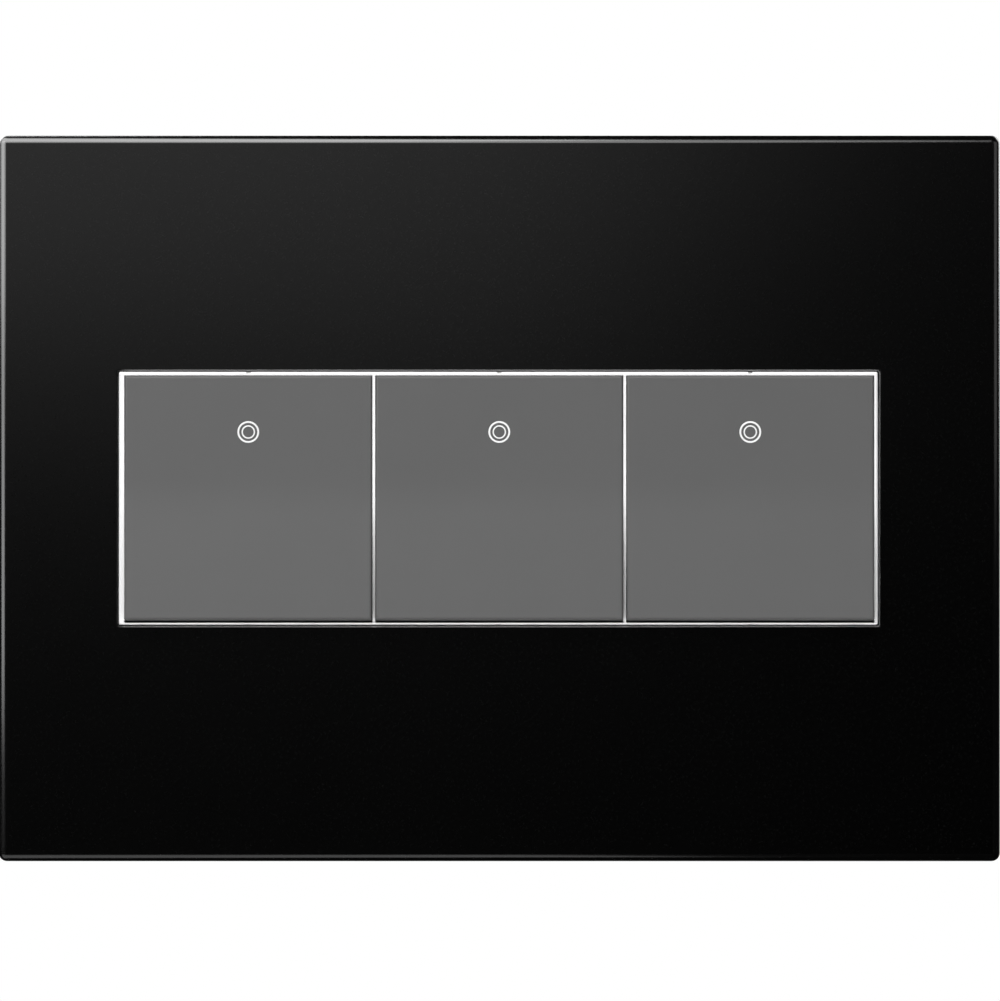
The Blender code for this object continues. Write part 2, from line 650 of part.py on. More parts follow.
def housing(number, module):
    name = "housing_%d" % number
    shape = block_shape([((-HOUSING_HALF_WIDTH, HOUSING_HALF_WIDTH), (HOUSING_FRONT_Y, HOUSING_BACK_Y),
                          (-HOUSING_HALF_HEIGHT, HOUSING_HALF_HEIGHT))])
    bevel_chosen(shape, lambda a, b: min(a.y, b.y) > HOUSING_BACK_Y - OVERLAP, HOUSING_EDGE, 1)
    part = add_part(name, mesh_from(shape, name), CREAM_MOULDING, module)
    inner_x = HOUSING_HALF_WIDTH - HOUSING_WALL
    inner_z = HOUSING_HALF_HEIGHT - HOUSING_WALL
    inner_back = HOUSING_BACK_Y - HOUSING_WALL
    hollow = [((-inner_x, inner_x), (HOUSING_FRONT_Y - THROUGH, inner_back), (-inner_z, inner_z))]
    cut(part, "hollow", blocks(name + "_hollow", hollow))
    ribs = [(span, (RIB_FRONT_Y, inner_back + OVERLAP), (-inner_z - OVERLAP, inner_z + OVERLAP))
            for span in both_signs(RIB_X)]
    join(part, "ribs", blocks(name + "_ribs", ribs))
    teeth = [((-TOOTH_HALF_WIDTH, TOOTH_HALF_WIDTH), TOOTH_Y, span)
             for span in both_signs((HOUSING_HALF_HEIGHT - OVERLAP, TOOTH_TOP_Z))]
    join(part, "teeth", blocks(name + "_teeth", teeth))
    slot_x = COMMON_WIDTH / 2 + SLOT_PLAY
    slot_z = STRIP / 2 + SLOT_PLAY
    leg_slots = [((-slot_x, slot_x), (inner_back - THROUGH, HOUSING_BACK_Y + THROUGH),
                  (level - slot_z, level + slot_z))
                 for level in (TERMINAL_LEG_Z, COMMON_LEG_Z, -TERMINAL_LEG_Z)]
    cut(part, "leg_slots", blocks(name + "_leg_slots", leg_slots))
    holes = [((0, inner_back - THROUGH, level), (0, HOUSING_BACK_Y + THROUGH, level),
              BINDING_RADIUS + HOLE_PLAY)
             for level in (TERMINAL_SCREW_Z, COMMON_SCREW_Z, -TERMINAL_SCREW_Z)]
    cut(part, "screw_holes", rods(name + "_screw_holes", holes, 12))
    earth_hole = [((STRAP_X, EARTH_SCREW_Y, -HOUSING_HALF_HEIGHT - THROUGH),
                   (STRAP_X, EARTH_SCREW_Y, -inner_z + THROUGH), EARTH_RADIUS + HOLE_PLAY)]
    cut(part, "earth_hole", rods(name + "_earth_hole", earth_hole, 12))


def spring(number, pivot):
    name = "spring_%d" % number
    curve = bpy.data.curves.new(name, "CURVE")
    curve.dimensions = "3D"
    curve.bevel_depth = SPRING_WIRE_RADIUS
    curve.bevel_resolution = 2
    curve.use_fill_caps = True
    line = curve.splines.new("POLY")
    steps = SPRING_TURNS * SPRING_POINTS_PER_TURN
    line.points.add(steps)
    for index, point in enumerate(line.points):
        angle = 2 * math.pi * index / SPRING_POINTS_PER_TURN
        along = SPRING_START + (SPRING_END - SPRING_START) * index / steps
        point.co = (SPRING_RADIUS * math.cos(angle), along, SPRING_RADIUS * math.sin(angle), 1.0)
    add_part(name, curve, SPRING_STEEL, pivot)


def plunger(number, pivot):
    name = "plunger_%d" % number
    flank = PLUNGER_RADIUS * 0.45
    profile = [
        (0.0, PLUNGER_TIP),
        (flank * 0.7, PLUNGER_TIP - flank * 0.3),
        (flank, PLUNGER_TIP - flank),
        (PLUNGER_RADIUS, PLUNGER_TIP - PLUNGER_RADIUS),
        (PLUNGER_RADIUS, PLUNGER_SHOULDER),
        (PLUNGER_STEM_RADIUS, PLUNGER_SHOULDER),
        (PLUNGER_STEM_RADIUS, PLUNGER_STEM_START),
        (0.0, PLUNGER_STEM_START),
    ]
    part = add_part(name, profile_mesh(name, profile, False), DARK_MOULDING, pivot,
                    rotation=(math.radians(-90), 0, 0))
    turn(part, ROUND_SIDES)


def contact_arm(number, module):
    name = "contact_arm_%d" % number
    pivot = add_empty("contact_pivot_%d" % number, module, (0, ARM_Y, 0), (ARM_HALF_SWING, 0, 0))
    strip = [((-ARM_HALF_WIDTH, ARM_HALF_WIDTH), centred(STRIP), (-ARM_HALF_LENGTH, ARM_HALF_LENGTH))]
    part = add_part(name, blocks(name, strip), BRASS, pivot)
    barrel = [((-ARM_BARREL_HALF, 0, 0), (ARM_BARREL_HALF, 0, 0), ARM_BARREL_RADIUS)]
    join(part, "barrel", rods(name + "_barrel", barrel))
    rivets = [((0, STRIP / 2 - OVERLAP, level), (0, ARM_CONTACT_BACK, level), CONTACT_RADIUS)
              for level in (-CONTACT_Z, CONTACT_Z)]
    join(part, "rivets", rods(name + "_rivets", rivets, 12))


def fixed_terminal(name, module, level):
    """The upper (level 1) or lower (level -1) terminal, with the contact that the arm meets."""
    path = [(TERMINAL_FRONT_Y, level * (CONTACT_Z - CONTACT_RADIUS - STRIP)),
            (TERMINAL_FRONT_Y, level * TERMINAL_LEG_Z),
            (TERMINAL_PAD_Y, level * TERMINAL_LEG_Z),
            (TERMINAL_PAD_Y, level * (TERMINAL_SCREW_Z - BINDING_HEAD_RADIUS))]
    part = add_part(name, strip_surface(name, path, TERMINAL_WIDTH), BRASS, module)
    thicken(part, STRIP)
    rivet = [((0, FIXED_CONTACT_FRONT_Y, level * CONTACT_Z),
              (0, TERMINAL_FRONT_Y - STRIP / 2 + OVERLAP, level * CONTACT_Z), CONTACT_RADIUS)]
    join(part, "rivet", rods(name + "_rivet", rivet, 12))
    hole = [((0, TERMINAL_PAD_Y - THROUGH, level * TERMINAL_SCREW_Z),
             (0, TERMINAL_PAD_Y + THROUGH, level * TERMINAL_SCREW_Z), BINDING_RADIUS + HOLE_PLAY)]
    cut(part, "hole", rods(name + "_hole", hole, 12))


def common_terminal(name, module):
    path = [(TERMINAL_FRONT_Y, EAR_HALF_HEIGHT),
            (TERMINAL_FRONT_Y, COMMON_LEG_Z),
            (TERMINAL_PAD_Y, COMMON_LEG_Z),
            (TERMINAL_PAD_Y, COMMON_SCREW_Z + BINDING_HEAD_RADIUS)]
    part = add_part(name, strip_surface(name, path, COMMON_WIDTH), BRASS, module)
    thicken(part, STRIP)
    ears = [(span, (EAR_FRONT_Y, TERMINAL_FRONT_Y), (-EAR_HALF_HEIGHT + OVERLAP, EAR_HALF_HEIGHT - OVERLAP))
            for span in both_signs(EAR_X)]
    join(part, "ears", blocks(name + "_ears", ears))
    barrel = [((-EAR_X[1] - THROUGH, ARM_Y, 0), (EAR_X[1] + THROUGH, ARM_Y, 0), ARM_BARREL_RADIUS + HOLE_PLAY)]
    cut(part, "barrel_hole", rods(name + "_barrel_hole", barrel))
    hole = [((0, TERMINAL_PAD_Y - THROUGH, COMMON_SCREW_Z), (0, TERMINAL_PAD_Y + THROUGH, COMMON_SCREW_Z),
             BINDING_RADIUS + HOLE_PLAY)]
    cut(part, "hole", rods(name + "_hole", hole, 12))


def terminals(number, module):
    head_seat = TERMINAL_PAD_Y + STRIP / 2 + TOUCH_GAP
    common_terminal("common_terminal_%d" % number, module)
    fixed_terminal("upper_terminal_%d" % number, module, 1)
    fixed_terminal("lower_terminal_%d" % number, module, -1)
    screw_levels = (("common_screw", COMMON_SCREW_Z), ("upper_screw", TERMINAL_SCREW_Z),
                    ("lower_screw", -TERMINAL_SCREW_Z))
    for label, level in screw_levels:
        add_screw("%s_%d" % (label, number), BRASS, module, (0, head_seat, level),
                  (math.radians(-90), 0, 0), (BINDING_HEAD_RADIUS, BINDING_HEAD_HEIGHT),
                  (BINDING_RADIUS, BINDING_LENGTH), 0.9 * MM)


def earth_connection(number, module):
    name = "ground_strap_%d" % number
    path = [(STRAP_FOOT_Y, STRAP_FOOT_Z), (STRAP_FOOT_Y, STRAP_LEG_Z), (STRAP_END_Y, STRAP_LEG_Z)]
    strap = add_part(name, strip_surface(name, path, TERMINAL_WIDTH), BRASS, module, (STRAP_X, 0, 0))
    thicken(strap, STRIP)
    hole = [((0, EARTH_SCREW_Y, STRAP_LEG_Z - THROUGH), (0, EARTH_SCREW_Y, STRAP_LEG_Z + THROUGH),
             EARTH_RADIUS + HOLE_PLAY)]
    cut(strap, "hole", rods(name + "_hole", hole, 12), (STRAP_X, 0, 0))
    head_seat = STRAP_LEG_Z - STRIP / 2 - TOUCH_GAP
    add_screw("ground_screw_%d" % number, EARTH_GREEN, module, (STRAP_X, EARTH_SCREW_Y, head_seat),
              (math.radians(180), 0, 0), (EARTH_HEAD_RADIUS, BINDING_HEAD_HEIGHT),
              (EARTH_RADIUS, EARTH_LENGTH), 0.9 * MM)


def switch_module(number, centre):
    module = add_empty("module_%d" % number, None, (centre, 0, 0))
    pivot = add_empty("paddle_pivot_%d" % number, module, (0, PIVOT_Y, 0), (-HALF_THROW, 0, 0))
    paddle(number, pivot)
    spring(number, pivot)
    plunger(number, pivot)
    chassis(number, module)
    housing(number, module)
    contact_arm(number, module)
    terminals(number, module)
    earth_connection(number, module)


cover_plate()
trim_frame()
mounting_frame()
box_screws()
for module_number, module_centre in enumerate(module_centres(), 1):
    switch_module(module_number, module_centre)
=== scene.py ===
import json
import math

import bmesh
import bpy
from mathutils import Matrix, Vector


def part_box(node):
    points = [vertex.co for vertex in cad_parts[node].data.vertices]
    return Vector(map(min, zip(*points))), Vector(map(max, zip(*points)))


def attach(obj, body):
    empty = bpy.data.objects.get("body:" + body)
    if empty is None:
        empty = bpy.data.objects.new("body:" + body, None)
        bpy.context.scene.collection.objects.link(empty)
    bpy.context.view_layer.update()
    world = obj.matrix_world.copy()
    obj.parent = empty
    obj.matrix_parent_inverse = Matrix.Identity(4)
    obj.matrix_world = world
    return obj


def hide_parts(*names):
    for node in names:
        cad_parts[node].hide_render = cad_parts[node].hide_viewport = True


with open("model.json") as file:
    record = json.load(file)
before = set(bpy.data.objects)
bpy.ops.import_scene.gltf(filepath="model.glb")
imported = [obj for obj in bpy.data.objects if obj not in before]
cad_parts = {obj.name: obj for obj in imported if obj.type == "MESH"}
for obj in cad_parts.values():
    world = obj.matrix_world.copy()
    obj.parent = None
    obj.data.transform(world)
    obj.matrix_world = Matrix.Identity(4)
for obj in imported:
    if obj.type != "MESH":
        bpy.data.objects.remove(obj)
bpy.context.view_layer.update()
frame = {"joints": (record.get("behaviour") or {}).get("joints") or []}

MM = 0.001
SCENE = bpy.context.scene
MODULES = (1, 2, 3)


# ---- places and sizes, from the frame --------------------

def joint_place(name):
    return Vector(next(joint["pos_m"] for joint in frame["joints"] if joint["name"] == name))


COVER_LOW, COVER_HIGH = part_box("cover_plate")
TRIM_LOW, TRIM_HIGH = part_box("trim_frame")
FRAME_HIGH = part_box("mounting_frame")[1]
PADDLE_PIVOT = {n: joint_place("paddle_rock_%d" % n) for n in MODULES}
ARM_PIVOT = {n: joint_place("contact_flip_%d" % n) for n in MODULES}
MODULE_X = {n: PADDLE_PIVOT[n].x for n in MODULES}
HALF_THROW = math.radians(2.75)
ARM_HALF_SWING = math.radians(4.0)

COVER_WALL = 2.2 * MM
COVER_SIDE = 2.0 * MM
COVER_CORNER = 1.5 * MM
COVER_FILLET = 1.4 * MM
WINDOW_HALF = Vector((68.275, 22.85)) * MM
WINDOW_CORNER = 0.35 * MM
LIP = 0.35 * MM
SNAP_PLAY = Vector((-0.175, 0, 0.03)) * MM    # how far off centre the window and trim body sit
TRIM_CHAMFER = 0.25 * MM
TRIM_BODY_HALF = Vector((68.025, 22.65)) * MM
TRIM_OPENING = Vector((22.25, 22.05))         # half of one opening, in millimetres
TRIM_DROP = 0.25                              # extra depth at an opening's lower edge, in millimetres
TRIM_BACK = -7.0 * MM
TONGUE = Vector((66.0, 0.0, 50.0)) * MM


# ---- mesh work -------------------------------------------

def mesh_of(shape, name):
    bmesh.ops.recalc_face_normals(shape, faces=shape.faces)
    mesh = bpy.data.meshes.new(name)
    shape.to_mesh(mesh)
    shape.free()
    return mesh


def around(middle, half):
    """The span that reaches as far on either side of its middle."""
    return (middle - half, middle + half)


def mirrored(low, high):
    """A span and its mirror image on the other side of zero."""
    return ((-high, -low), (low, high))


def slabs(spans):
    """Separate boxes, each given by its spans along X, Y and Z in millimetres."""
    shape = bmesh.new()
    for box in spans:
        centre = Vector([(low + high) / 2 for low, high in box]) * MM
        size = Vector([abs(high - low) for low, high in box]) * MM
        place = Matrix.Translation(centre) @ Matrix.Diagonal(size).to_4x4()
        bmesh.ops.create_cube(shape, size=1.0, matrix=place)
    return mesh_of(shape, "slabs")


def bars(runs, sides=40):
    """Separate round bars, each given by its end points and radius in millimetres."""
    shape = bmesh.new()
    for start, end, radius in runs:
        start = Vector(start) * MM
        end = Vector(end) * MM
        along = end - start
        turn = along.to_track_quat("Z", "Y").to_matrix().to_4x4()
        place = Matrix.Translation((start + end) / 2) @ turn
        bmesh.ops.create_cone(shape, cap_ends=True, segments=sides, radius1=radius * MM,
                              radius2=radius * MM, depth=along.length, matrix=place)
    return mesh_of(shape, "bars")


def loft(loops, name="loft", ring=False):
    """A skin over loops of points, with flat ends, or closed on itself as a ring."""
    shape = bmesh.new()
    rows = [[shape.verts.new(point) for point in loop] for loop in loops]
    pairs = list(zip(rows, rows[1:]))
    if ring:
        pairs.append((rows[-1], rows[0]))
    count = len(rows[0])
    for first, second in pairs:
        for index in range(count):
            after = (index + 1) % count
            shape.faces.new((first[index], first[after], second[after], second[index]))
    if not ring:
        shape.faces.new(rows[0])
        shape.faces.new(reversed(rows[-1]))
    return mesh_of(shape, name)


def round_corners(half_x, half_z, radius, y, steps=6):
    """A rectangle with round corners, seen from the front, at one depth."""
    points = []
    for quarter, (side, level) in enumerate(((1, 1), (-1, 1), (-1, -1), (1, -1))):
        for step in range(steps + 1):
            angle = math.pi / 2 * (quarter + step / steps)
            x = side * (half_x - radius) + radius * math.cos(angle)
            z = level * (half_z - radius) + radius * math.sin(angle)
            points.append((x, y, z))
    return points


def moved_by(loop, shift):
    """The same loop of points, moved a little."""
    return [Vector(point) + shift for point in loop]


def revolved(profile, sides=48, ring=False):
    """A (radius, height) profile in millimetres, turned about Z."""
    shape = bmesh.new()
    rows = []
    for radius, height in profile:
        if radius == 0:
            rows.append([shape.verts.new((0, 0, height * MM))])
        else:
            rows.append([shape.verts.new((radius * MM * math.cos(2 * math.pi * index / sides),
                                          radius * MM * math.sin(2 * math.pi * index / sides),
                                          height * MM)) for index in range(sides)])
    pairs = list(zip(rows, rows[1:]))
    if ring:
        pairs.append((rows[-1], rows[0]))
    for first, second in pairs:
        for index in range(sides):
            after = (index + 1) % sides
            corners = [first[index % len(first)], first[after % len(first)],
                       second[after % len(second)], second[index % len(second)]]
            shape.faces.new(list(dict.fromkeys(corners)))
    return mesh_of(shape, "revolved")


def rounded_profile(profile, radius, steps=4):
    """The same profile with its inner corners rounded; its two ends stay."""
    result = [profile[0]]
    for before, corner, after in zip(profile, profile[1:], profile[2:]):
        corner_point = Vector(corner)
        back = Vector(before) - corner_point
        ahead = Vector(after) - corner_point
        reach = min(radius, back.length * 0.45, ahead.length * 0.45)
        start = corner_point + back.normalized() * reach
        end = corner_point + ahead.normalized() * reach
        for step in range(steps + 1):
            part = step / steps
            point = start * (1 - part) ** 2 + corner_point * 2 * part * (1 - part) + end * part ** 2
            result.append(tuple(point))
    result.append(profile[-1])
    return result


def worked(mesh, *steps):
    """The mesh after a row of modifiers, each given as its type and settings."""
    blank = bpy.data.objects.new("blank", mesh)
    SCENE.collection.objects.link(blank)
    helpers = [blank]
    for kind, settings in steps:
        modifier = blank.modifiers.new(kind, kind)
        for key, value in settings.items():
            if isinstance(value, bpy.types.Mesh):
                tool = bpy.data.objects.new("tool", value)
                SCENE.collection.objects.link(tool)
                helpers.append(tool)
                value = tool
            setattr(modifier, key, value)
    graph = bpy.context.evaluated_depsgraph_get()
    result = bpy.data.meshes.new_from_object(blank.evaluated_get(graph), depsgraph=graph)
    for helper in helpers:
        bpy.data.objects.remove(helper)
    return result


def minus(mesh):
    return ("BOOLEAN", {"operation": "DIFFERENCE", "object": mesh, "solver": "EXACT"})


def plus(mesh):
    return ("BOOLEAN", {"operation": "UNION", "object": mesh, "solver": "EXACT"})


def eased(width, segments=3, angle=30):
    return ("BEVEL", {"width": width * MM, "segments": segments, "limit_method": "ANGLE",
                      "angle_limit": math.radians(angle), "harden_normals": False,
                      "use_clamp_overlap": True, "miter_outer": "MITER_ARC"})


DEBURRED = eased(0.1, 2, 40)


def shaded(mesh, angle=38):
    """Smooth shading with flat faces kept flat."""
    mesh.shade_smooth()
    mesh.set_sharp_from_angle(angle=math.radians(angle))
    return worked(mesh, ("WEIGHTED_NORMAL", {"keep_sharp": True, "weight": 50}))


def edge_bevel(shape, chosen, width, segments):
    edges = [edge for edge in shape.edges if chosen(edge.verts[0].co, edge.verts[1].co)]
    bmesh.ops.bevel(shape, geom=edges, offset=width, segments=segments, profile=0.5,
                    affect="EDGES", clamp_overlap=True)


def joined(meshes):
    """Several closed skins in one mesh."""
    shape = bmesh.new()
    for mesh in meshes:
        shape.from_mesh(mesh)
    return mesh_of(shape, "joined")


def piece(name, mesh, finish, body, stands_for=(), place=(0, 0, 0), turn=(0, 0, 0)):
    """Puts a finished mesh in the scene and on the body that carries it."""
    made = bpy.data.objects.new(name, mesh.copy())
    SCENE.collection.objects.link(made)
    made.location = place
    made.rotation_euler = turn
    made.data.materials.clear()
    made.data.materials.append(finish)
    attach(made, body)
    if stands_for:
        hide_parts(*stands_for)


# ---- shader work -----------------------------------------

class Wire:
    """A socket in a finish; arithmetic on it adds Math nodes."""

    def __init__(self, finish, socket):
        self.finish = finish
        self.socket = socket

    def math(self, operation, *values):
        return self.finish.node("Math", {"operation": operation}, dict(enumerate(values)))

    def __add__(self, other):
        return self.math("ADD", self, other)

    def __radd__(self, other):
        return self.math("ADD", other, self)

    def __sub__(self, other):
        return self.math("SUBTRACT", self, other)

    def __rsub__(self, other):
        return self.math("SUBTRACT", other, self)

    def __mul__(self, other):
        return self.math("MULTIPLY", self, other)

    def __rmul__(self, other):
        return self.math("MULTIPLY", other, self)

    def size(self):
        return self.math("ABSOLUTE", self)

    def larger(self, other):
        return self.math("MAXIMUM", self, other)

    def above(self, level, softness):
        """0 well below the level and 1 well above it."""
        return self.finish.node("MapRange", {"interpolation_type": "SMOOTHSTEP"},
                                {0: self, 1: level - softness, 2: level + softness})


class Finish:
    """A procedural material: one shader, and the nodes that vary it."""

    def __init__(self, name, colour, roughness, metallic=0.0, **constants):
        self.material = bpy.data.materials.new(name)
        self.material.use_nodes = True
        self.tree = self.material.node_tree
        self.shader = self.tree.nodes["Principled BSDF"]
        self.set("Base Color", (*colour, 1.0))
        self.set("Roughness", roughness)
        self.set("Metallic", metallic)
        for label, value in constants.items():
            self.set(label.replace("_", " "), value)
        self.place = self.node("TexCoord", output="Object")

    def set(self, label, value):
        self.feed(self.shader.inputs[label], value)

    def feed(self, socket, value):
        if isinstance(value, Wire):
            self.tree.links.new(value.socket, socket)
        else:
            socket.default_value = value

    def node(self, kind, settings=None, inputs=None, output=0):
        """Any node: its settings come first, then the values or wires of its sockets."""
        made = self.tree.nodes.new("ShaderNode" + kind)
        for key, value in (settings or {}).items():
            setattr(made, key, value)
        for key, value in (inputs or {}).items():
            self.feed(made.inputs[key], value)
        return Wire(self, made.outputs[output])

    def axis(self, index):
        """How far along X, Y or Z a point of the object lies."""
        return self.node("SeparateXYZ", None, {0: self.place}, index)

    def stretched(self, scale):
        """Object coordinates scaled along X, Y and Z, so that a texture runs along one of them."""
        return self.node("Mapping", {"vector_type": "POINT"}, {"Vector": self.place, "Scale": scale})

    def noise(self, per_metre, detail=3.0, vector=None):
        return self.node("TexNoise", {"noise_dimensions": "3D"},
                         {"Vector": vector or self.place, "Scale": per_metre, "Detail": detail,
                          "Roughness": 0.55})

    def cells(self, per_metre):
        """Cells of one random colour each."""
        return self.node("TexVoronoi", {"feature": "F1"},
                         {"Vector": self.place, "Scale": per_metre}, "Color")

    def mix(self, amount, first, second):
        return self.node("Mix", {"data_type": "RGBA"},
                         {0: amount, 6: first, 7: second}, output=2)

    def grey_of(self, colour):
        return self.node("SeparateColor", {"mode": "RGB"}, {0: colour})

    def relief(self, *layers):
        """Bump from (height, depth in metres, strength) layers, one over the other."""
        normal = None
        for height, depth, strength in layers:
            inputs = {"Height": height, "Distance": depth, "Strength": strength}
            if normal is not None:
                inputs["Normal"] = normal
            normal = self.node("Bump", None, inputs)
        self.set("Normal", normal)


def tone(level):
    return (level, level, level, 1.0)


def cover_finish():
    """Satin black moulding with fine flakes, glossier on the front fillet and the window's lip."""
    finish = Finish("satin_black_flake", (0.0005, 0.0005, 0.0005), 0.3,
                    Coat_IOR=3.0, Coat_Roughness=0.2)
    inset = 0.02 * MM
    soft = 0.06 * MM
    across = finish.axis(0).size() - (COVER_HIGH.x - COVER_FILLET)
    up = finish.axis(2).size() - (COVER_HIGH.z - COVER_FILLET)
    wall = finish.axis(1).above(COVER_LOW.y + COVER_FILLET, 0.1 * MM)
    fillet = across.larger(up).above(inset, soft) * (1 - wall)
    window_across = (finish.axis(0) - SNAP_PLAY.x).size() - (WINDOW_HALF.x + LIP)
    window_up = (finish.axis(2) - SNAP_PLAY.z).size() - (WINDOW_HALF.y + LIP)
    polished = finish.axis(0).above(1 * MM - WINDOW_HALF.x, 1 * MM)
    lip = (1 - window_across.larger(window_up).above(-inset, soft)) * polished
    edge = fillet.larger(lip)
    flakes = finish.grey_of(finish.cells(5200)).above(0.93, 0.03)
    cloud = finish.noise(35, 4)
    finish.set("Base Color", finish.mix(flakes * 0.8, tone(0.0002), tone(0.0018)))
    satin = 0.28 + cloud * 0.03 + finish.noise(1900, 2) * 0.03
    finish.set("Roughness", satin - flakes * 0.05 - edge * 0.08 + wall * 0.2)
    finish.set("Coat Weight", edge)
    finish.relief((finish.noise(6200, 2), 0.00002, 0.22), (finish.noise(900, 3), 0.00002, 0.06))
    return finish.material


def trim_finish():
    finish = Finish("bright_satin_trim", (0.9, 0.9, 0.9), 0.3)
    cloud = finish.noise(260, 3)
    finish.set("Base Color", finish.mix(cloud, tone(0.86), tone(0.93)))
    finish.set("Roughness", 0.26 + cloud * 0.1)
    finish.relief((finish.noise(5200, 2), 0.00001, 0.08))
    return finish.material


def paddle_finish():
    """Grey moulding with a fine eroded texture."""
    finish = Finish("satin_grey_moulding", (0.13, 0.13, 0.13), 0.5)
    grain = finish.noise(4300, 3)
    cloud = finish.noise(55, 4)
    finish.set("Base Color", finish.mix(cloud * 0.6 + grain * 0.4, tone(0.1), tone(0.111)))
    finish.set("Roughness", 0.47 + cloud * 0.06 + grain * 0.05)
    finish.relief((grain, 0.00002, 0.16))
    return finish.material


def ring_finish():
    finish = Finish("white_inlay", (0.9, 0.9, 0.9), 0.4)
    grain = finish.noise(7000, 2)
    finish.set("Base Color", finish.mix(grain, tone(0.87), tone(0.93)))
    finish.set("Roughness", 0.36 + grain * 0.08)
    finish.relief((grain, 0.00001, 0.06))
    return finish.material


def moulding_finish(name, dark, light, roughness, speck=0.0):
    """Engineering plastic: faint flow marks, fine grain and a few specks of filler."""
    finish = Finish(name, light, roughness)
    grain = finish.noise(3600, 3)
    flow = finish.noise(90, 4, finish.stretched((1.0, 0.35, 1.0)))
    specks = finish.grey_of(finish.cells(3000)).above(0.975, 0.012)
    body = finish.mix(flow, (*dark, 1.0), (*light, 1.0))
    finish.set("Base Color", finish.mix(specks * speck, body, (*[part * 0.55 for part in dark], 1.0)))
    finish.set("Roughness", roughness - 0.05 + flow * 0.1 + grain * 0.05)
    finish.relief((grain, 0.00002, 0.2), (flow, 0.00004, 0.05))
    return finish.material


def zinc_sheet_finish():
    """Zinc-plated sheet steel: soft crystals, rolling lines and handling scuffs."""
    finish = Finish("zinc_plated_sheet", (0.6, 0.61, 0.62), 0.32, 0.72)
    crystals = finish.grey_of(finish.cells(380))
    lines = finish.noise(900, 3, finish.stretched((0.04, 1.0, 1.0)))
    scuffs = finish.noise(140, 5, finish.stretched((1.0, 1.0, 0.2))).above(0.62, 0.05)
    plated = finish.mix(crystals, (0.56, 0.57, 0.59, 1), (0.65, 0.66, 0.67, 1))
    finish.set("Base Color", finish.mix(scuffs * 0.35, plated, (0.74, 0.74, 0.73, 1)))
    finish.set("Roughness", 0.29 + crystals * 0.05 + lines * 0.12 + scuffs * 0.08)
    finish.relief((lines, 0.00002, 0.12), (crystals, 0.00002, 0.05))
    return finish.material


def turned_metal_finish(name, dark, light, roughness, metallic=1.0):
    """Turned or drawn metal: rings round the piece's own axis, and dull spots."""
    finish = Finish(name, light, roughness, metallic)
    rings = finish.node("TexWave",
                        {"wave_type": "RINGS", "rings_direction": "Z", "wave_profile": "SIN"},
                        {"Vector": finish.place, "Scale": 1100.0, "Distortion": 1.5, "Detail": 3.0,
                         "Detail Scale": 2.0}, output="Fac")
    tarnish = finish.noise(420, 4).above(0.55, 0.12)
    finish.set("Base Color", finish.mix(tarnish * 0.7, (*light, 1.0), (*dark, 1.0)))
    finish.set("Roughness", roughness - 0.04 + rings * 0.08 + tarnish * 0.12)
    finish.relief((rings, 0.00001, 0.15), (finish.noise(3000, 2), 0.00001, 0.1))
    return finish.material


def rolled_brass_finish():
    """Sheet brass: rolling lines along the strip, with patches of warm tarnish."""
    finish = Finish("rolled_brass", (0.78, 0.58, 0.3), 0.28, 1.0)
    lines = finish.noise(1500, 3, finish.stretched((1.0, 0.06, 0.06)))
    tarnish = finish.noise(220, 5).above(0.56, 0.12)
    finish.set("Base Color", finish.mix(tarnish * 0.6, (0.8, 0.6, 0.3, 1), (0.5, 0.33, 0.15, 1)))
    finish.set("Roughness", 0.2 + lines * 0.16 + tarnish * 0.14)
    finish.relief((lines, 0.00001, 0.14))
    return finish.material


def green_screw_finish():
    """Green dye over plated steel, worn through where a driver has touched it."""
    finish = Finish("green_dyed_steel", (0.04, 0.33, 0.11), 0.34, 0.75)
    worn = finish.noise(900, 4).above(0.66, 0.06)
    cloud = finish.noise(300, 3)
    dyed = finish.mix(cloud, (0.02, 0.24, 0.07, 1), (0.06, 0.42, 0.15, 1))
    finish.set("Base Color", finish.mix(worn * 0.5, dyed, (0.6, 0.62, 0.6, 1)))
    finish.set("Roughness", 0.28 + cloud * 0.14)
    finish.relief((finish.noise(3000, 2), 0.00001, 0.1))
    return finish.material


BLACK = cover_finish()
BRIGHT = trim_finish()
GREY = paddle_finish()
WHITE = ring_finish()
DARK = moulding_finish("dark_chassis_moulding", (0.03, 0.03, 0.033), (0.05, 0.05, 0.054), 0.5, 0.4)
CREAM = moulding_finish("cream_housing_moulding", (0.47, 0.44, 0.37), (0.58, 0.55, 0.47), 0.52, 0.45)
SLIDE = moulding_finish("plunger_moulding", (0.045, 0.045, 0.05), (0.07, 0.07, 0.075), 0.34)
ZINC = zinc_sheet_finish()
SCREW_ZINC = turned_metal_finish("zinc_plated_screw", (0.42, 0.42, 0.43), (0.64, 0.64, 0.66), 0.3, 0.8)
SPRING_WIRE = turned_metal_finish("spring_wire", (0.3, 0.3, 0.3), (0.55, 0.55, 0.56), 0.28)
SCREW_BRASS = turned_metal_finish("turned_brass", (0.5, 0.34, 0.15), (0.78, 0.58, 0.29), 0.28)
SILVER = turned_metal_finish("silver_contact", (0.5, 0.5, 0.48), (0.82, 0.81, 0.79), 0.24)
BRASS = rolled_brass_finish()
GREEN = green_screw_finish()


# ---- the cover and its trim ------------------------------

def arc(steps):
    return [math.pi / 2 * step / steps for step in range(steps + 1)]


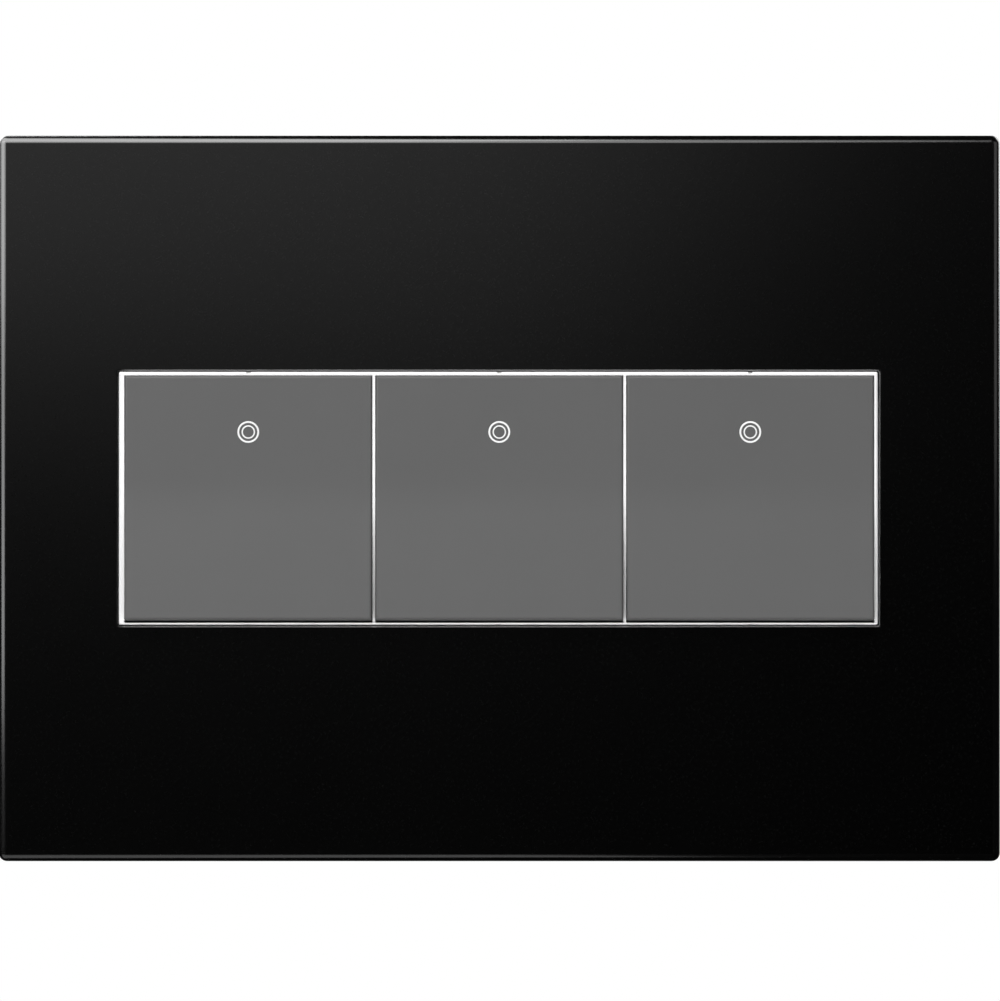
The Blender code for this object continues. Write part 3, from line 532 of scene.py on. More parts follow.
def cover_plate():
    """One skin, lofted from the rim over the fillet to the window and back inside."""
    half_x, back, half_z = COVER_HIGH
    front = COVER_LOW.y
    inner = front + COVER_WALL
    edge = 0.2 * MM
    loops = []
    for angle in arc(3):
        inset = edge * (1 - math.sin(angle))
        loops.append(round_corners(half_x - inset, half_z - inset, COVER_CORNER - inset,
                                   back - edge * (1 - math.cos(angle)), 8))
    for angle in arc(10):
        inset = COVER_FILLET * (1 - math.cos(angle))
        loops.append(round_corners(half_x - inset, half_z - inset, COVER_CORNER - inset * 0.8,
                                   front + COVER_FILLET * (1 - math.sin(angle)), 8))
    window_x, window_z = WINDOW_HALF
    for angle in arc(5):
        inset = LIP * (1 - math.sin(angle))
        lip = round_corners(window_x + inset, window_z + inset, WINDOW_CORNER + inset,
                            front + LIP * (1 - math.cos(angle)), 8)
        loops.append(moved_by(lip, SNAP_PLAY))
    for angle in arc(3):
        inset = edge * (1 - math.cos(angle))
        back_edge = round_corners(window_x + inset, window_z + inset, WINDOW_CORNER + inset,
                                  inner - edge * (1 - math.sin(angle)), 8)
        loops.append(moved_by(back_edge, SNAP_PLAY))
    inside_x = half_x - COVER_SIDE
    inside_z = half_z - COVER_SIDE
    bend = 0.8 * MM
    for angle in arc(5):
        inset = bend * (1 - math.sin(angle))
        loops.append(round_corners(inside_x - inset, inside_z - inset, 1.2 * MM,
                                   inner + bend * (1 - math.cos(angle)), 8))
    for angle in arc(3):
        inset = edge * (1 - math.cos(angle))
        loops.append(round_corners(inside_x + inset, inside_z + inset, 1.2 * MM,
                                   back - edge * (1 - math.sin(angle)), 8))
    shell = loft(loops, "cover_plate", ring=True)
    piece("black_cover_plate", shaded(shell, 50), BLACK, "cover", ["cover_plate"])


def cover_tongues():
    """The four tongues, each a ribbed blade with a lead-in at its tip."""
    blade = slabs([((-4, 4), (-8.1, -3.2), (-0.8, 0.8))])
    gussets = slabs([(across, (-8.1, -7.0), (-3.2, 3.2)) for across in mirrored(2.4, 3.2)])
    tongue = shaded(worked(blade, eased(0.3, 3), plus(gussets), eased(0.08, 2)))
    for side, column in (("left", -1), ("right", 1)):
        for end, row in (("lower", -1), ("upper", 1)):
            piece("cover_tongue_%s_%s" % (side, end), tongue, BLACK, "cover",
                  place=(column * TONGUE.x, 0, row * TONGUE.z))


def cover_ribs():
    """Low ribs that stiffen the back of the cover's front wall."""
    long_ribs = slabs([((-84, 84), (-8.0, -6.9), around(level, 0.5)) for level in (-60, -33, 33, 60)])
    cross_ribs = slabs([(around(x, 0.5), (-8.0, -6.95), height)
                        for x in (-80, -40, 40, 80) for height in mirrored(32.8, 60.2)])
    mesh = worked(long_ribs, plus(cross_ribs), eased(0.15, 2))
    piece("cover_back_ribs", shaded(mesh), BLACK, "cover")


def trim_frame():
    """The bright frame: a chamfered body with three openings, on a flange behind the cover."""
    half_x, half_z = TRIM_BODY_HALF
    front = TRIM_LOW.y
    loops = [round_corners(half_x - TRIM_CHAMFER, half_z - TRIM_CHAMFER, 0.2 * MM, front, 3),
             round_corners(half_x, half_z, 0.3 * MM, front + TRIM_CHAMFER, 3),
             round_corners(half_x, half_z, 0.3 * MM, TRIM_BACK, 3)]
    body = loft([moved_by(loop, SNAP_PLAY) for loop in loops], "trim")
    flange = slabs([((TRIM_LOW.x / MM, TRIM_HIGH.x / MM), (-7.4, -6.6),
                     (TRIM_LOW.z / MM, TRIM_HIGH.z / MM))])
    columns = [MODULE_X[n] / MM for n in MODULES]
    opening_height = (-TRIM_OPENING.y - TRIM_DROP, TRIM_OPENING.y)
    openings = slabs([(around(x, TRIM_OPENING.x), (-12, -5), opening_height) for x in columns])
    notches = slabs([(around(x, 0.4), (-11, -9.6), height)
                     for x in columns for height in ((-23.2, -22.5), (22.4, 23.2))])
    mesh = worked(body, plus(flange), minus(openings), minus(notches), eased(0.07, 2, 35))
    piece("bright_trim_frame", shaded(mesh), BRIGHT, "cover", ["trim_frame"])


# ---- the paddles and their rings -------------------------

FACE_DEPTH = 4.4
PADDLE_HALF_WIDTH = 22.15
PADDLE_HALF_HEIGHT = 21.95
VALLEY_HALF = 3.0
SKIRT_BACK = 0.8
PADDLE_WALL = 1.8


def face_depth(height, depth):
    """Depth of the V-shaped face in front of the pivot, with a soft valley."""
    slope = math.tan(HALF_THROW)
    if abs(height) >= VALLEY_HALF:
        return -depth - abs(height) * slope
    return -depth - (height * height / (2 * VALLEY_HALF) + VALLEY_HALF / 2) * slope


def ring_place():
    """Centre of the rings on the upper half of the face, measured from the pivot."""
    distance = FACE_DEPTH * math.cos(HALF_THROW)
    rise = 11.9
    y = -distance * math.cos(HALF_THROW) - rise * math.sin(HALF_THROW)
    z = -distance * math.sin(HALF_THROW) + rise * math.cos(HALF_THROW)
    return Vector((0, y, z)) * MM


def ring_section(inner, outer, top, bottom, corner):
    """The cut through one ring, with its two front edges rounded."""
    return [(outer, bottom), (outer, top - corner), (outer - corner * 0.3, top - corner * 0.3),
            (outer - corner, top), (inner + corner, top), (inner + corner * 0.3, top - corner * 0.3),
            (inner, top - corner), (inner, bottom)]


RINGS = {"outer_ring": (1.625, 1.955), "inner_ring": (0.965, 1.215)}


def paddle_mesh():
    slope = math.tan(HALF_THROW)
    end_at_pivot = PADDLE_HALF_HEIGHT / math.cos(HALF_THROW)
    front_end = (end_at_pivot - FACE_DEPTH * slope) / (1 + slope * slope)
    back_end = end_at_pivot + SKIRT_BACK * slope
    low_end = -front_end - TRIM_DROP
    heights = [low_end] + [VALLEY_HALF * step / 8 for step in range(-8, 9)] + [front_end]
    outline = [(face_depth(height, FACE_DEPTH), height) for height in heights]
    outline += [(SKIRT_BACK, back_end), (SKIRT_BACK, -back_end - TRIM_DROP)]
    shape = bmesh.new()
    shape.from_mesh(along_x(outline, -PADDLE_HALF_WIDTH, PADDLE_HALF_WIDTH))
    near = 0.05 * MM

    def on_border(a, b):
        on_face = max(a.y, b.y) < -FACE_DEPTH * MM + near
        on_side = abs(a.x - b.x) < near and abs(a.x) > PADDLE_HALF_WIDTH * MM - near
        on_end = min(abs(a.z), abs(b.z)) > front_end * MM - near
        return on_face and (on_side or on_end)

    edge_bevel(shape, on_border, 0.45 * MM, 5)
    upright = [edge for edge in shape.edges
               if abs(edge.verts[0].co.y - edge.verts[1].co.y) > 2 * MM
               and abs(edge.verts[0].co.x) > PADDLE_HALF_WIDTH * MM - near]
    bmesh.ops.bevel(shape, geom=upright, offset=0.2 * MM, segments=3, profile=0.5, affect="EDGES")
    block = mesh_of(shape, "paddle")
    depth = FACE_DEPTH - PADDLE_WALL
    end = front_end - PADDLE_WALL
    hollow_outline = [(face_depth(-end, depth), -end), (-depth, 0.0), (face_depth(end, depth), end),
                      (SKIRT_BACK + 1, end), (SKIRT_BACK + 1, -end)]
    inner = PADDLE_HALF_WIDTH - PADDLE_WALL
    hollow = along_x(hollow_outline, -inner, inner)
    lugs = slabs([((side * 13.2, side * 15.0), (-3.0, 1.6), (-4, 4)) for side in (-1, 1)])
    webs = slabs([((-20.3, 20.3), (-3.2, -2.0), around(level, 0.5)) for level in (-13, 13)])
    pins = bars([((side * 14.9, 0, 0), (side * 17.6, 0, 0), 1.2) for side in (-1, 1)])
    boss = bars([((0, -3.0, 0), (0, 10.2, 0), 4.3)])
    bore = bars([((0, -1.8, 0), (0, 11.2, 0), 3.1)])
    to_face = Matrix.Translation(ring_place()) @ Matrix.Rotation(math.pi / 2 + HALF_THROW, 4, "X")
    grooves = joined([revolved(ring_section(low - 0.04, high + 0.04, 0.8, -0.42, 0.01), 64, True)
                      for low, high in RINGS.values()])
    grooves.transform(to_face)
    mesh = worked(block, minus(hollow), plus(webs), plus(lugs), plus(pins), plus(boss), minus(bore),
                  minus(grooves))
    return shaded(mesh, 32)


def paddles():
    mesh = paddle_mesh()
    rings = {label: shaded(revolved(ring_section(low, high, 0.015, -0.35, 0.05), 64, True))
             for label, (low, high) in RINGS.items()}
    tilt = Matrix.Rotation(-HALF_THROW, 4, "X")
    for n in MODULES:
        body = "rocker_%d" % n
        piece("grey_paddle_%d" % n, mesh, GREY, body, ["paddle_%d" % n],
              PADDLE_PIVOT[n], (-HALF_THROW, 0, 0))
        for label, ring in rings.items():
            piece("white_%s_%d" % (label, n), ring, WHITE, body,
                  ["%s_%d" % (label, n)], PADDLE_PIVOT[n] + tilt @ ring_place(), (math.pi / 2, 0, 0))


# ---- bent sheet, threads and coils -----------------------

def along_x(outline, low, high):
    """A prism between two places on X, from a (depth, height) outline in millimetres."""
    return loft([[(x * MM, y * MM, z * MM) for y, z in outline] for x in (low, high)])


def along_z(outline, low, high):
    """A prism between two heights, from an (x, depth) outline in millimetres."""
    return loft([[(x * MM, y * MM, z * MM) for x, y in outline] for z in (low, high)])


def sunk(half_x, half_z, radius, low, high, x=0.0, z=0.0, steps=5):
    """A block with round corners between two depths, in millimetres."""
    loops = [round_corners(half_x * MM, half_z * MM, radius * MM, y * MM, steps) for y in (low, high)]
    block = loft(loops)
    block.transform(Matrix.Translation((x * MM, 0, z * MM)))
    return block


def strip(path, half_width, thickness, bend):
    """Sheet bent along a (depth, height) path in millimetres and spread along X."""
    line = [Vector(point) for point in rounded_profile(path, bend, 6)]
    outer = []
    inner = []
    for index, point in enumerate(line):
        before = line[max(index - 1, 0)]
        after = line[min(index + 1, len(line) - 1)]
        run = (after - before).normalized()
        side = Vector((-run.y, run.x)) * thickness / 2
        outer.append(point + side)
        inner.append(point - side)
    return along_x(outer + inner[::-1], -half_width, half_width)


def thread(radius, length, pitch, sides=22):
    """A threaded shank from its seat down, with a blunt lead at the end."""
    core = radius - 0.5 * pitch
    rows = round(length / pitch * 6)
    loops = []
    for row in range(rows + 1):
        height = 0.3 - (length + 0.3) * row / rows
        lead = min(1.0, (length + height) / (1.5 * pitch))
        loop = []
        for index in range(sides):
            angle = 2 * math.pi * index / sides
            phase = (height / pitch - index / sides) % 1.0
            crest = min(1.0, 1.25 - abs(2.5 * phase - 1.25))
            reach = (core + (radius - core) * crest) * (0.72 + 0.28 * lead)
            loop.append((reach * MM * math.cos(angle), reach * MM * math.sin(angle), height * MM))
        loops.append(loop)
    return loft(loops)


def screw_mesh(head_radius, head_height, radius, length, slot, pitch, cross=False):
    """A domed head with a slot, on a threaded shank; the head is seated at height 0."""
    shape = ((0.0, 1.0), (0.35, 0.985), (0.6, 0.92), (0.8, 0.79), (0.93, 0.6), (0.985, 0.42))
    profile = [(head_radius * out, head_height * up) for out, up in shape]
    profile += [(head_radius, head_height * 0.28), (head_radius, 0.12)]
    profile += [(head_radius - 0.12, 0.0), (0.0, 0.0)]
    reach = head_radius + 1
    width = (-slot / 2, slot / 2)
    depth = (head_height * 0.45, head_height + 1)
    steps = [minus(slabs([((-reach, reach), width, depth)]))]
    if cross:
        arm = head_radius * 0.52
        steps.append(minus(slabs([(width, (-arm, arm), depth)])))
    head = worked(revolved(profile, 48), *steps, eased(0.06, 2, 40))
    return shaded(joined([head, thread(radius, length, pitch)]), 40)


def coil(radius, wire, start, end, turns):
    """A compression spring along Y, with a closed turn at each end, in millimetres."""
    steps = 26
    total = turns + 2
    closed = 2.1 * wire
    loops = []
    for index in range(total * steps + 1):
        turned = index / steps
        if turned < 1:
            along = start + closed * turned
        elif turned > total - 1:
            along = end - closed * (total - turned)
        else:
            along = start + closed + (end - start - 2 * closed) * (turned - 1) / turns
        outward = Vector((math.cos(2 * math.pi * turned), 0, math.sin(2 * math.pi * turned)))
        centre = outward * radius + Vector((0, along, 0))
        loop = []
        for corner in range(10):
            angle = 2 * math.pi * corner / 10
            rise = Vector((0, wire * math.sin(angle), 0))
            loop.append((centre + outward * wire * math.cos(angle) + rise) * MM)
        loops.append(loop)
    return loft(loops)


# ---- the mounting frame and its screws -------------------

GANG_PITCH = 46.04
SCREW_ROW = 41.67


def sprung_fingers():
    """Pairs of bent fingers that take the cover's tongues between them."""
    fingers = []
    for side in (-1, 1):
        for end in (-1, 1):
            for lean in (-1, 1):
                level = end * TONGUE.z / MM
                path = [(-1.5, level + lean * 1.55), (-5.4, level + lean * 1.55),
                        (-6.7, level + lean * 2.0)]
                finger = strip(path, 3.0, 0.88, 1.2)
                finger.transform(Matrix.Translation((side * TONGUE.x, 0, 0)))
                fingers.append(finger)
    return joined(fingers)


def mounting_frame():
    """A zinc-plated tray: folded rim, stamped beads, screw slots and sprung fingers."""
    half_x = FRAME_HIGH.x / MM
    half_z = FRAME_HIGH.z / MM
    bend = 0.8
    section = [(bend * (1 - math.sin(angle)), -bend * (1 - math.cos(angle))) for angle in arc(4)]
    section += [(0.0, -4.35), (0.08, -4.52), (0.25, -4.6), (1.15, -4.6), (1.32, -4.52), (1.4, -4.35)]
    section += [(1.4 + 0.5 * (1 - math.cos(angle)), -2.5 + 0.5 * math.sin(angle)) for angle in arc(4)]
    loops = []
    for inset, y in section:
        corner = max(3.0 - inset, 1.2)
        loops.append(round_corners((half_x - inset) * MM, (half_z - inset) * MM,
                                   corner * MM, y * MM, 6))
    tray = loft(loops)
    cutters = [sunk(20.3, 20.5, 0.9, -6, 1, MODULE_X[n] / MM) for n in MODULES]
    cutters += [sunk(3.5, 2.1, 2.05, -6, 1, column * GANG_PITCH, row * SCREW_ROW)
                for column in (-1, 0, 1) for row in (-1, 1)]
    holes = bars([((x, -6, z), (x, 1, z), 1.6) for x in (-77, 77) for z in (-41, -15, 15, 41)])
    beads = [(across, around(level, 1.3)) for across in mirrored(8, 60) for level in (-31.5, 31.5)]
    beads += [(around(x, 1.3), (-14, 14)) for x in (-74, 74)]
    raised = worked(slabs([(across, (-2.5, -1.0), up) for across, up in beads]), eased(0.45, 4))
    grooves = worked(slabs([(across, (-0.5, 0.6), up) for across, up in beads]), eased(0.4, 3))
    mesh = worked(tray, minus(joined(cutters)), minus(holes), plus(raised), minus(grooves),
                  plus(sprung_fingers()), DEBURRED)
    piece("zinc_mounting_frame", shaded(mesh), ZINC, "base", ["mounting_frame"])


def frame_screws():
    mesh = screw_mesh(3.45, 2.0, 1.75, 25.0, 0.9, 0.8)
    spins = (12, -34, 63, 80, 21, -52)
    places = [(column, row) for row in (1, -1) for column in (-1, 0, 1)]
    for number, ((column, row), spin) in enumerate(zip(places, spins), 1):
        place = Vector((column * GANG_PITCH, -2.3, row * SCREW_ROW)) * MM
        piece("zinc_frame_screw_%d" % number, mesh, SCREW_ZINC, "base",
              ["frame_screw_%d" % number], place, (math.pi / 2, math.radians(spin), 0))


# ---- the modules behind the paddles ----------------------

# Heights from the middle of a module, depths from the wall and radii, all in millimetres.
MAIN_LEVEL = 0.2        # the common terminal's screw
MAIN_LEG = -4.2
THROW_LEVEL = 11.9      # the upper and lower terminals' screws
THROW_LEG = 16.1
CONTACT_LEVEL = 12      # the contacts at the see-saw's two ends
STRAP_FRONT = 13.6
STRAP_BACK = 26.7
BINDING_HOLE = 2.05
GROUND_SIDE = 10        # the ground screw, to the right of the module's middle
GROUND_DEPTH = 7.5
GROUND_HOLE = 1.8


def chassis_mesh():
    """The front moulding of a module: plate, bearings for the paddle, hooks and bails."""
    plate = sunk(22.2, 22.0, 1.0, -4.0, -2.3)
    opening = sunk(7.0, 7.0, 0.8, -6, 0)
    collar = worked(sunk(8.6, 8.6, 1.6, -4.8, -3.9), minus(sunk(7.4, 7.4, 1.0, -6, 0)))
    ear = [(-3.9, -4.5), (-7.2, -4.5), (-8.1, -3.7), (-8.4, -2.6)]
    ear += [(y, -z) for y, z in reversed(ear)]
    ears = [along_x(ear, low, high) for low, high in mirrored(15.4, 17.0)]
    webs = []
    for side in (-1, 1):
        for level in (-3.4, 3.4):
            profile = [(side * 16.9, -3.9), (side * 19.3, -3.9), (side * 16.9, -6.6)]
            webs.append(along_z(profile, *around(level, 0.4)))
    bearings = bars([((side * 14.6, -6.2, 0), (side * 17.8, -6.2, 0), 1.5) for side in (-1, 1)])
    ledges = slabs([(across, (-4.6, -3.9), around(level, 0.5))
                    for across in mirrored(9, 12) for level in (-12, 0, 12)])
    ties = slabs([((-18.5, 18.5), (-4.6, -3.9), around(level, 0.45)) for level in (-16.5, 16.5)])
    barb = ((19.3, -2.5), (20.0, -2.5), (20.0, 0.4), (20.9, 0.4), (20.9, 0.8), (20.0, 3.0), (19.3, 3.0))
    hooks = []
    for side in (-1, 1):
        for low, high in mirrored(5.5, 10.5):
            hooks.append(along_z([(side * x, y) for x, y in barb], low, high))
    bails = slabs([((-4, 4), (-2.5, 6.0), height) for height in mirrored(19.5, 20.2)])
    windows = slabs([((-2.4, 2.4), (3.2, 5.2), height) for height in mirrored(19, 21)])
    vents = joined([sunk(1.1, 3.6, 1.0, -6, 0, x, z) for x in (-11.2, 11.2) for z in (-6.6, 6.6)])
    marks = bars([((x, -4.12, z), (x, -3.9, z), 1.6) for x in (-18.6, 18.6) for z in (-12.8, 12.8)], 32)
    return shaded(worked(plate, minus(opening), minus(vents), plus(collar), plus(joined(ears)),
                         plus(joined(webs)), minus(bearings), plus(ledges), plus(ties),
                         plus(joined(hooks)), plus(bails), minus(windows), plus(marks),
                         eased(0.13, 2, 40)))


def housing_mesh():
    """The cup behind the frame, with barriers between the terminals at its back."""
    section = [(0.0, -2.0)]
    section += [(0.8 * (1 - math.cos(angle)), 25.2 + 0.8 * math.sin(angle)) for angle in arc(5)]
    cup = loft([round_corners((19.0 - inset) * MM, (19.2 - inset) * MM, 1.4 * MM, y * MM, 5)
                for inset, y in section])
    hollow = sunk(17.4, 17.6, 0.6, -3, 24.4)
    ribs = slabs([(across, (15, 24.6), (-17.8, 17.8)) for across in mirrored(8, 9)])
    teeth = []
    for level in (-1, 1):
        profile = [(3.6, level * 19.0), (3.6, level * 20.0), (3.9, level * 20.0), (4.8, level * 19.2),
                   (4.8, level * 19.0)]
        teeth.append(along_x(profile, -2, 2))
    legs = slabs([((-4.35, 4.35), (23, 27), around(level, 0.75))
                  for level in (THROW_LEG, MAIN_LEG, -THROW_LEG)])
    screws = (THROW_LEVEL, MAIN_LEVEL, -THROW_LEVEL)
    holes = bars([((0, 23, level), (0, 27, level), BINDING_HOLE) for level in screws])
    earth = bars([((GROUND_SIDE, GROUND_DEPTH, -20), (GROUND_SIDE, GROUND_DEPTH, -17), GROUND_HOLE)])
    side_panels = slabs([(across, (9, 22), (-14, 14)) for across in mirrored(18.65, 20)])
    side_panels = worked(side_panels, eased(0.3, 3))
    top_panel = worked(slabs([((-13, 13), (9, 22), (18.85, 20))]), eased(0.3, 3))
    entries = joined([sunk(2.0, 1.1, 1.05, 23, 27, x, z)
                      for x in (-12.5, 12.5) for z in reversed(screws)])
    barriers = slabs([((-16.5, 16.5), (25.8, 28.6), around(level, 0.5)) for level in (-6.6, 5.9)])
    gauge = slabs([((low, low + 0.5), (25.7, 27), (-16.5, -15.2)) for low in (8.0, 10.0, 12.0, 14.0)])
    return shaded(worked(cup, minus(hollow), plus(ribs), plus(joined(teeth)), minus(legs),
                         minus(holes), minus(earth), minus(side_panels), minus(top_panel),
                         minus(entries), plus(barriers), minus(gauge), eased(0.12, 2, 40)))


def plunger_mesh():
    profile = [(0.0, 14.5), (0.5, 14.42), (0.95, 14.15), (1.26, 13.7), (1.45, 13.35), (2.62, 11.95),
               (2.8, 11.5), (2.8, 9.6), (2.68, 9.45), (2.68, 9.15), (2.8, 9.0), (2.8, 7.15), (2.65, 7.0),
               (1.75, 7.0), (1.6, 6.85), (1.6, 0.8), (1.3, 0.5), (0.0, 0.5)]
    return shaded(revolved(profile, 44), 32)


def dome(radius, base, top):
    """A riveted contact: a low dome on a short drum."""
    rise = top - base
    return revolved([(0.0, top), (radius * 0.45, top - rise * 0.08), (radius * 0.8, top - rise * 0.3),
                     (radius, top - rise * 0.6), (radius, base), (0.0, base)], 36)


def contact_arms():
    """The see-saw: a brass blade on a barrel, with a silver contact at each end."""
    outline = [(x / MM, z / MM) for x, y, z in round_corners(3.0 * MM, 14.0 * MM, 2.2 * MM, 0, 8)]
    blade = loft([[(x * MM, y * MM, z * MM) for x, z in outline] for y in (-0.4, 0.4)])
    barrel = revolved([(0, -4.7), (1.05, -4.7), (1.2, -4.55), (1.2, 4.55), (1.05, 4.7), (0, 4.7)], 36)
    barrel.transform(Matrix.Rotation(math.pi / 2, 4, "Y"))
    ribs = slabs([((-0.5, 0.5), (-0.75, 0), height) for height in mirrored(2.5, 9.5)])
    ribs = worked(ribs, eased(0.2, 3))
    arm = shaded(worked(blade, plus(barrel), plus(ribs), DEBURRED))
    front_face = Matrix.Rotation(-math.pi / 2, 4, "X")
    back_face = Matrix.Rotation(math.pi / 2, 4, "X")
    tips = []
    for level in (-CONTACT_LEVEL, CONTACT_LEVEL):
        for facing, radius, top in ((front_face, 1.5, 1.2), (back_face, 1.0, 0.75)):
            tip = dome(radius, 0.3, top)
            tip.transform(Matrix.Translation((0, 0, level * MM)) @ facing)
            tips.append(tip)
    tips = shaded(joined(tips), 40)
    turn = (ARM_HALF_SWING, 0, 0)
    for n in MODULES:
        body = "seesaw_%d" % n
        piece("brass_contact_arm_%d" % n, arm, BRASS, body,
              ["contact_arm_%d" % n], ARM_PIVOT[n], turn)
        piece("silver_arm_contacts_%d" % n, tips, SILVER, body,
              place=ARM_PIVOT[n], turn=turn)


def fixed_terminal_meshes(level):
    """A bent terminal, with the contact that the see-saw meets."""
    path = [(STRAP_FRONT, level * 9.7), (STRAP_FRONT, level * THROW_LEG),
            (STRAP_BACK, level * THROW_LEG), (STRAP_BACK, level * 8.7)]
    hole = bars([((0, 25, level * THROW_LEVEL), (0, 28, level * THROW_LEVEL), BINDING_HOLE)])
    notches = slabs([(around(x, 0.5), (17, 20), around(level * THROW_LEG, 1)) for x in (-3.5, 3.5)])
    strap = shaded(worked(strip(path, 3.5, 0.8, 0.9), minus(hole), minus(notches), DEBURRED))
    contact = dome(1.5, 0.0, 0.75)
    place = Matrix.Translation((0, 13.2 * MM, level * CONTACT_LEVEL * MM))
    contact.transform(place @ Matrix.Rotation(math.pi / 2, 4, "X"))
    return strap, shaded(contact, 40)


def common_terminal_mesh():
    path = [(STRAP_FRONT, 2.6), (STRAP_FRONT, MAIN_LEG), (STRAP_BACK, MAIN_LEG), (STRAP_BACK, 3.4)]
    ear = [(STRAP_FRONT, -2.5), (STRAP_FRONT, 2.5), (9.6, 2.5), (8.5, 1.6), (8.0, 0.6)]
    ear += [(8.0, -0.6), (8.5, -1.6), (9.6, -2.5)]
    ears = [along_x(ear, low, high) for low, high in mirrored(3.3, 4.1)]
    hole = bars([((0, 25, MAIN_LEVEL), (0, 28, MAIN_LEVEL), BINDING_HOLE)])
    pivot_hole = bars([((-5, 10, 0), (5, 10, 0), 1.5)])
    return shaded(worked(strip(path, 4.0, 0.8, 0.9), plus(joined(ears)), minus(hole),
                         minus(pivot_hole), DEBURRED))


def terminals():
    common = common_terminal_mesh()
    fixed = {"upper": fixed_terminal_meshes(1), "lower": fixed_terminal_meshes(-1)}
    binding = screw_mesh(3.2, 1.8, 1.75, 7.4, 0.9, 0.7, cross=True)
    levels = {"common": MAIN_LEVEL, "upper": THROW_LEVEL, "lower": -THROW_LEVEL}
    spins = {"common": 24, "upper": -41, "lower": 8}
    for n in MODULES:
        place = (MODULE_X[n], 0, 0)
        piece("brass_common_terminal_%d" % n, common, BRASS, "base",
              ["common_terminal_%d" % n], place)
        for label, (strap, contact) in fixed.items():
            piece("brass_%s_terminal_%d" % (label, n), strap, BRASS, "base",
                  ["%s_terminal_%d" % (label, n)], place)
            piece("silver_%s_contact_%d" % (label, n), contact, SILVER, "base",
                  place=place)
        for label, level in levels.items():
            piece("brass_%s_screw_%d" % (label, n), binding, SCREW_BRASS, "base",
                  ["%s_screw_%d" % (label, n)], (MODULE_X[n], 27.4 * MM, level * MM),
                  (-math.pi / 2, math.radians(spins[label] + 37 * n), 0))


def ground_parts():
    path = [(0.7, -25.5), (0.7, -19.9), (12.0, -19.9)]
    hole = bars([((0, GROUND_DEPTH, -22), (0, GROUND_DEPTH, -18), GROUND_HOLE)])
    dimple = bars([((0, 0.0, -23.4), (0, 1.4, -23.4), 0.9)])
    strap = shaded(worked(strip(path, 3.5, 0.8, 0.7), minus(hole), minus(dimple), DEBURRED))
    green = screw_mesh(2.9, 1.8, 1.5, 6.1, 0.9, 0.7)
    for n in MODULES:
        x = MODULE_X[n] + GROUND_SIDE * MM
        piece("brass_ground_strap_%d" % n, strap, BRASS, "base",
              ["ground_strap_%d" % n], (x, 0, 0))
        piece("green_ground_screw_%d" % n, green, GREEN, "base",
              ["ground_screw_%d" % n], (x, GROUND_DEPTH * MM, -20.6 * MM),
              (math.pi, 0, math.radians(29 * n)))


def modules():
    chassis = chassis_mesh()
    cup = housing_mesh()
    spring = shaded(coil(2.4, 0.3, -1.1, 6.3, 4), 60)
    plunger = plunger_mesh()
    for n in MODULES:
        place = (MODULE_X[n], 0, 0)
        piece("dark_chassis_%d" % n, chassis, DARK, "base", ["chassis_%d" % n], place)
        piece("cream_housing_%d" % n, cup, CREAM, "base", ["housing_%d" % n], place)
        piece("steel_spring_%d" % n, spring, SPRING_WIRE, "rocker_%d" % n,
              ["spring_%d" % n], PADDLE_PIVOT[n], (-HALF_THROW, 0, 0))
        piece("dark_plunger_%d" % n, plunger, SLIDE, "rocker_%d" % n,
              ["plunger_%d" % n], PADDLE_PIVOT[n], (-HALF_THROW - math.pi / 2, 0, 0))


cover_plate()
cover_tongues()
cover_ribs()
trim_frame()
paddles()
mounting_frame()
frame_screws()
modules()
contact_arms()
terminals()
ground_parts()


# ---- floor, light and camera -----------------------------

def floor():
    finish = Finish("pale_floor", (0.86, 0.86, 0.85), 0.6)
    finish.set("Base Color", finish.mix(finish.noise(6, 3), tone(0.84), tone(0.88)))
    shape = bmesh.new()
    bmesh.ops.create_circle(shape, cap_ends=True, segments=96, radius=0.9)
    mesh = mesh_of(shape, "pale_floor")
    mesh.materials.append(finish.material)
    ground = bpy.data.objects.new("pale_floor", mesh)
    ground.location = (0, 0, COVER_LOW.z - 0.125)
    ground.visible_glossy = False
    SCENE.collection.objects.link(ground)


def softbox(name, place, aim, size, power, diffuse=True, glossy=True):
    light = bpy.data.lights.new(name, "AREA")
    light.shape = "RECTANGLE"
    light.size, light.size_y = size
    light.energy = power
    lamp = bpy.data.objects.new(name, light)
    lamp.location = place
    lamp.rotation_euler = (Vector(aim) - Vector(place)).to_track_quat("-Z", "Y").to_euler()
    lamp.visible_camera = False
    lamp.visible_diffuse = diffuse
    lamp.visible_glossy = glossy
    SCENE.collection.objects.link(lamp)


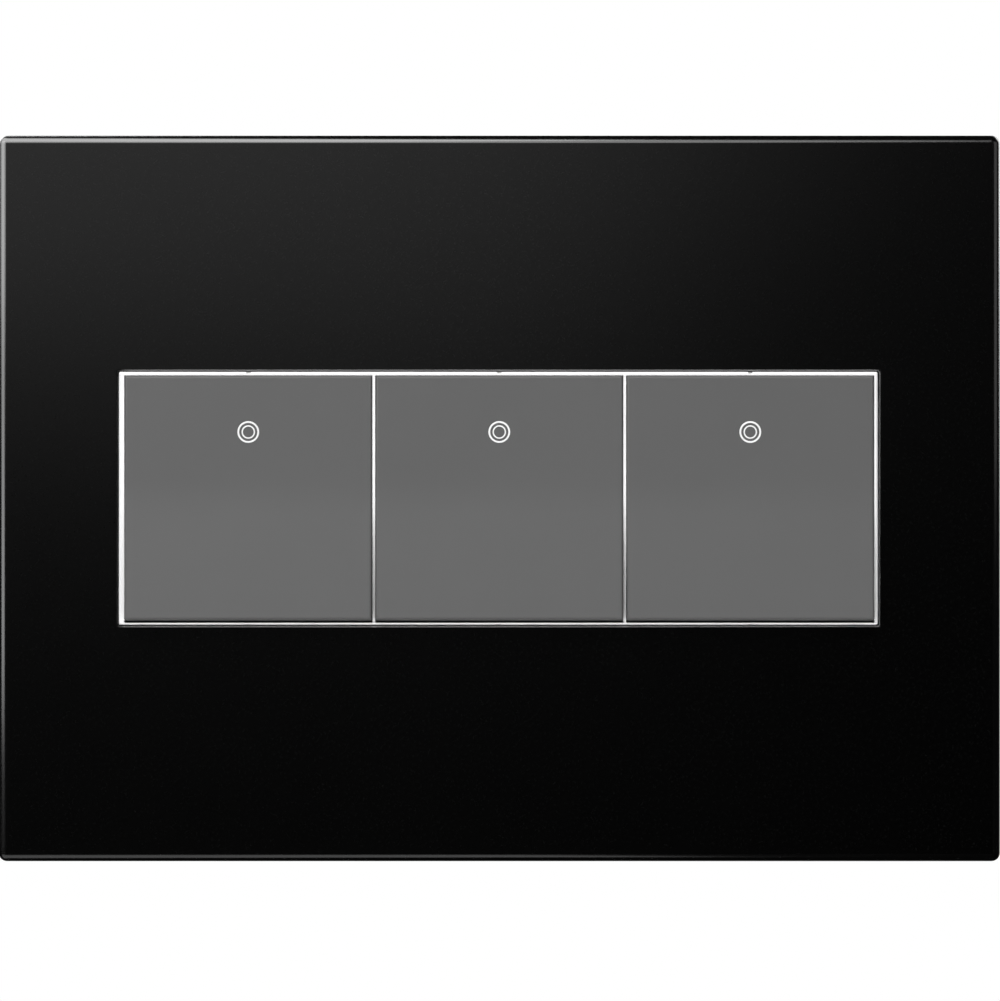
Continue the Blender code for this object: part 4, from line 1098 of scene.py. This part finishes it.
def lights():
    softbox("key", (-0.45, -1.1, 2.25), (0, 0, 0), (1.3, 1.3), 86, glossy=False)
    softbox("top_down", (-0.1, -0.25, 1.4), (0, 0, 0), (0.6, 0.5), 7, glossy=False)
    softbox("fill", (0.9, -1.0, 0.1), (0, 0, 0), (0.8, 0.8), 1.2, glossy=False)
    softbox("sheen", (-0.117, -0.12, 0.137), (0, 0, 0), (0.527, 0.251), 0.272, diffuse=False)
    softbox("top_strip", (-0.12, -0.115, 0.19), (-0.04, 0, 0.065), (0.3, 0.15), 0.14, diffuse=False)
    softbox("left_strip", (-0.215, -0.115, 0.055), (-0.09, 0, 0.035), (0.15, 0.2), 0.078, diffuse=False)
    softbox("right_strip", (0.21, -0.11, 0.07), (0.09, 0, 0.04), (0.13, 0.13), 0.008, diffuse=False)
    softbox("low_strip", (-0.11, -0.11, -0.18), (-0.06, 0, -0.065), (0.3, 0.13), 0.025, diffuse=False)
    softbox("back_left", (-0.8, 1.0, 0.6), (0, 0.01, 0), (0.8, 0.6), 22, glossy=False)
    softbox("back_right", (0.9, 0.8, 0.5), (0, 0.01, 0), (0.6, 0.6), 12, glossy=False)
    softbox("back_left_glow", (-0.85, 1.0, 0.7), (0, 0.01, 0), (1.4, 1.2), 12, diffuse=False)
    softbox("back_right_glow", (0.95, 0.85, 0.6), (0, 0.01, 0), (1.1, 1.1), 7, diffuse=False)


def surroundings():
    """White behind the object, and a dim room in its reflections."""
    world = bpy.data.worlds.new("studio")
    SCENE.world = world
    world.use_nodes = True
    tree = world.node_tree
    tree.nodes.clear()
    room = tree.nodes.new("ShaderNodeBackground")
    room.inputs["Color"].default_value = tone(0.004)
    backdrop = tree.nodes.new("ShaderNodeBackground")
    backdrop.inputs["Color"].default_value = tone(1.0)
    path = tree.nodes.new("ShaderNodeLightPath")
    choice = tree.nodes.new("ShaderNodeMixShader")
    output = tree.nodes.new("ShaderNodeOutputWorld")
    sources = (path.outputs["Is Camera Ray"], room.outputs[0], backdrop.outputs[0])
    for source, socket in zip(sources, choice.inputs):
        tree.links.new(source, socket)
    tree.links.new(choice.outputs[0], output.inputs[0])


def camera():
    lens = bpy.data.cameras.new("camera")
    lens.lens = 200
    lens.sensor_width = 36
    lens.clip_start = 0.05
    lens.clip_end = 20
    eye = bpy.data.objects.new("camera", lens)
    widest = COVER_LOW.y + COVER_FILLET
    away = (COVER_HIGH.x - COVER_LOW.x) * lens.lens / lens.sensor_width
    eye.location = (0.126 * MM, widest - away, -0.378 * MM)
    eye.rotation_euler = (math.radians(90), 0, 0)
    SCENE.collection.objects.link(eye)
    SCENE.camera = eye


floor()
lights()
surroundings()
camera()
SCENE.view_settings.view_transform = "Standard"
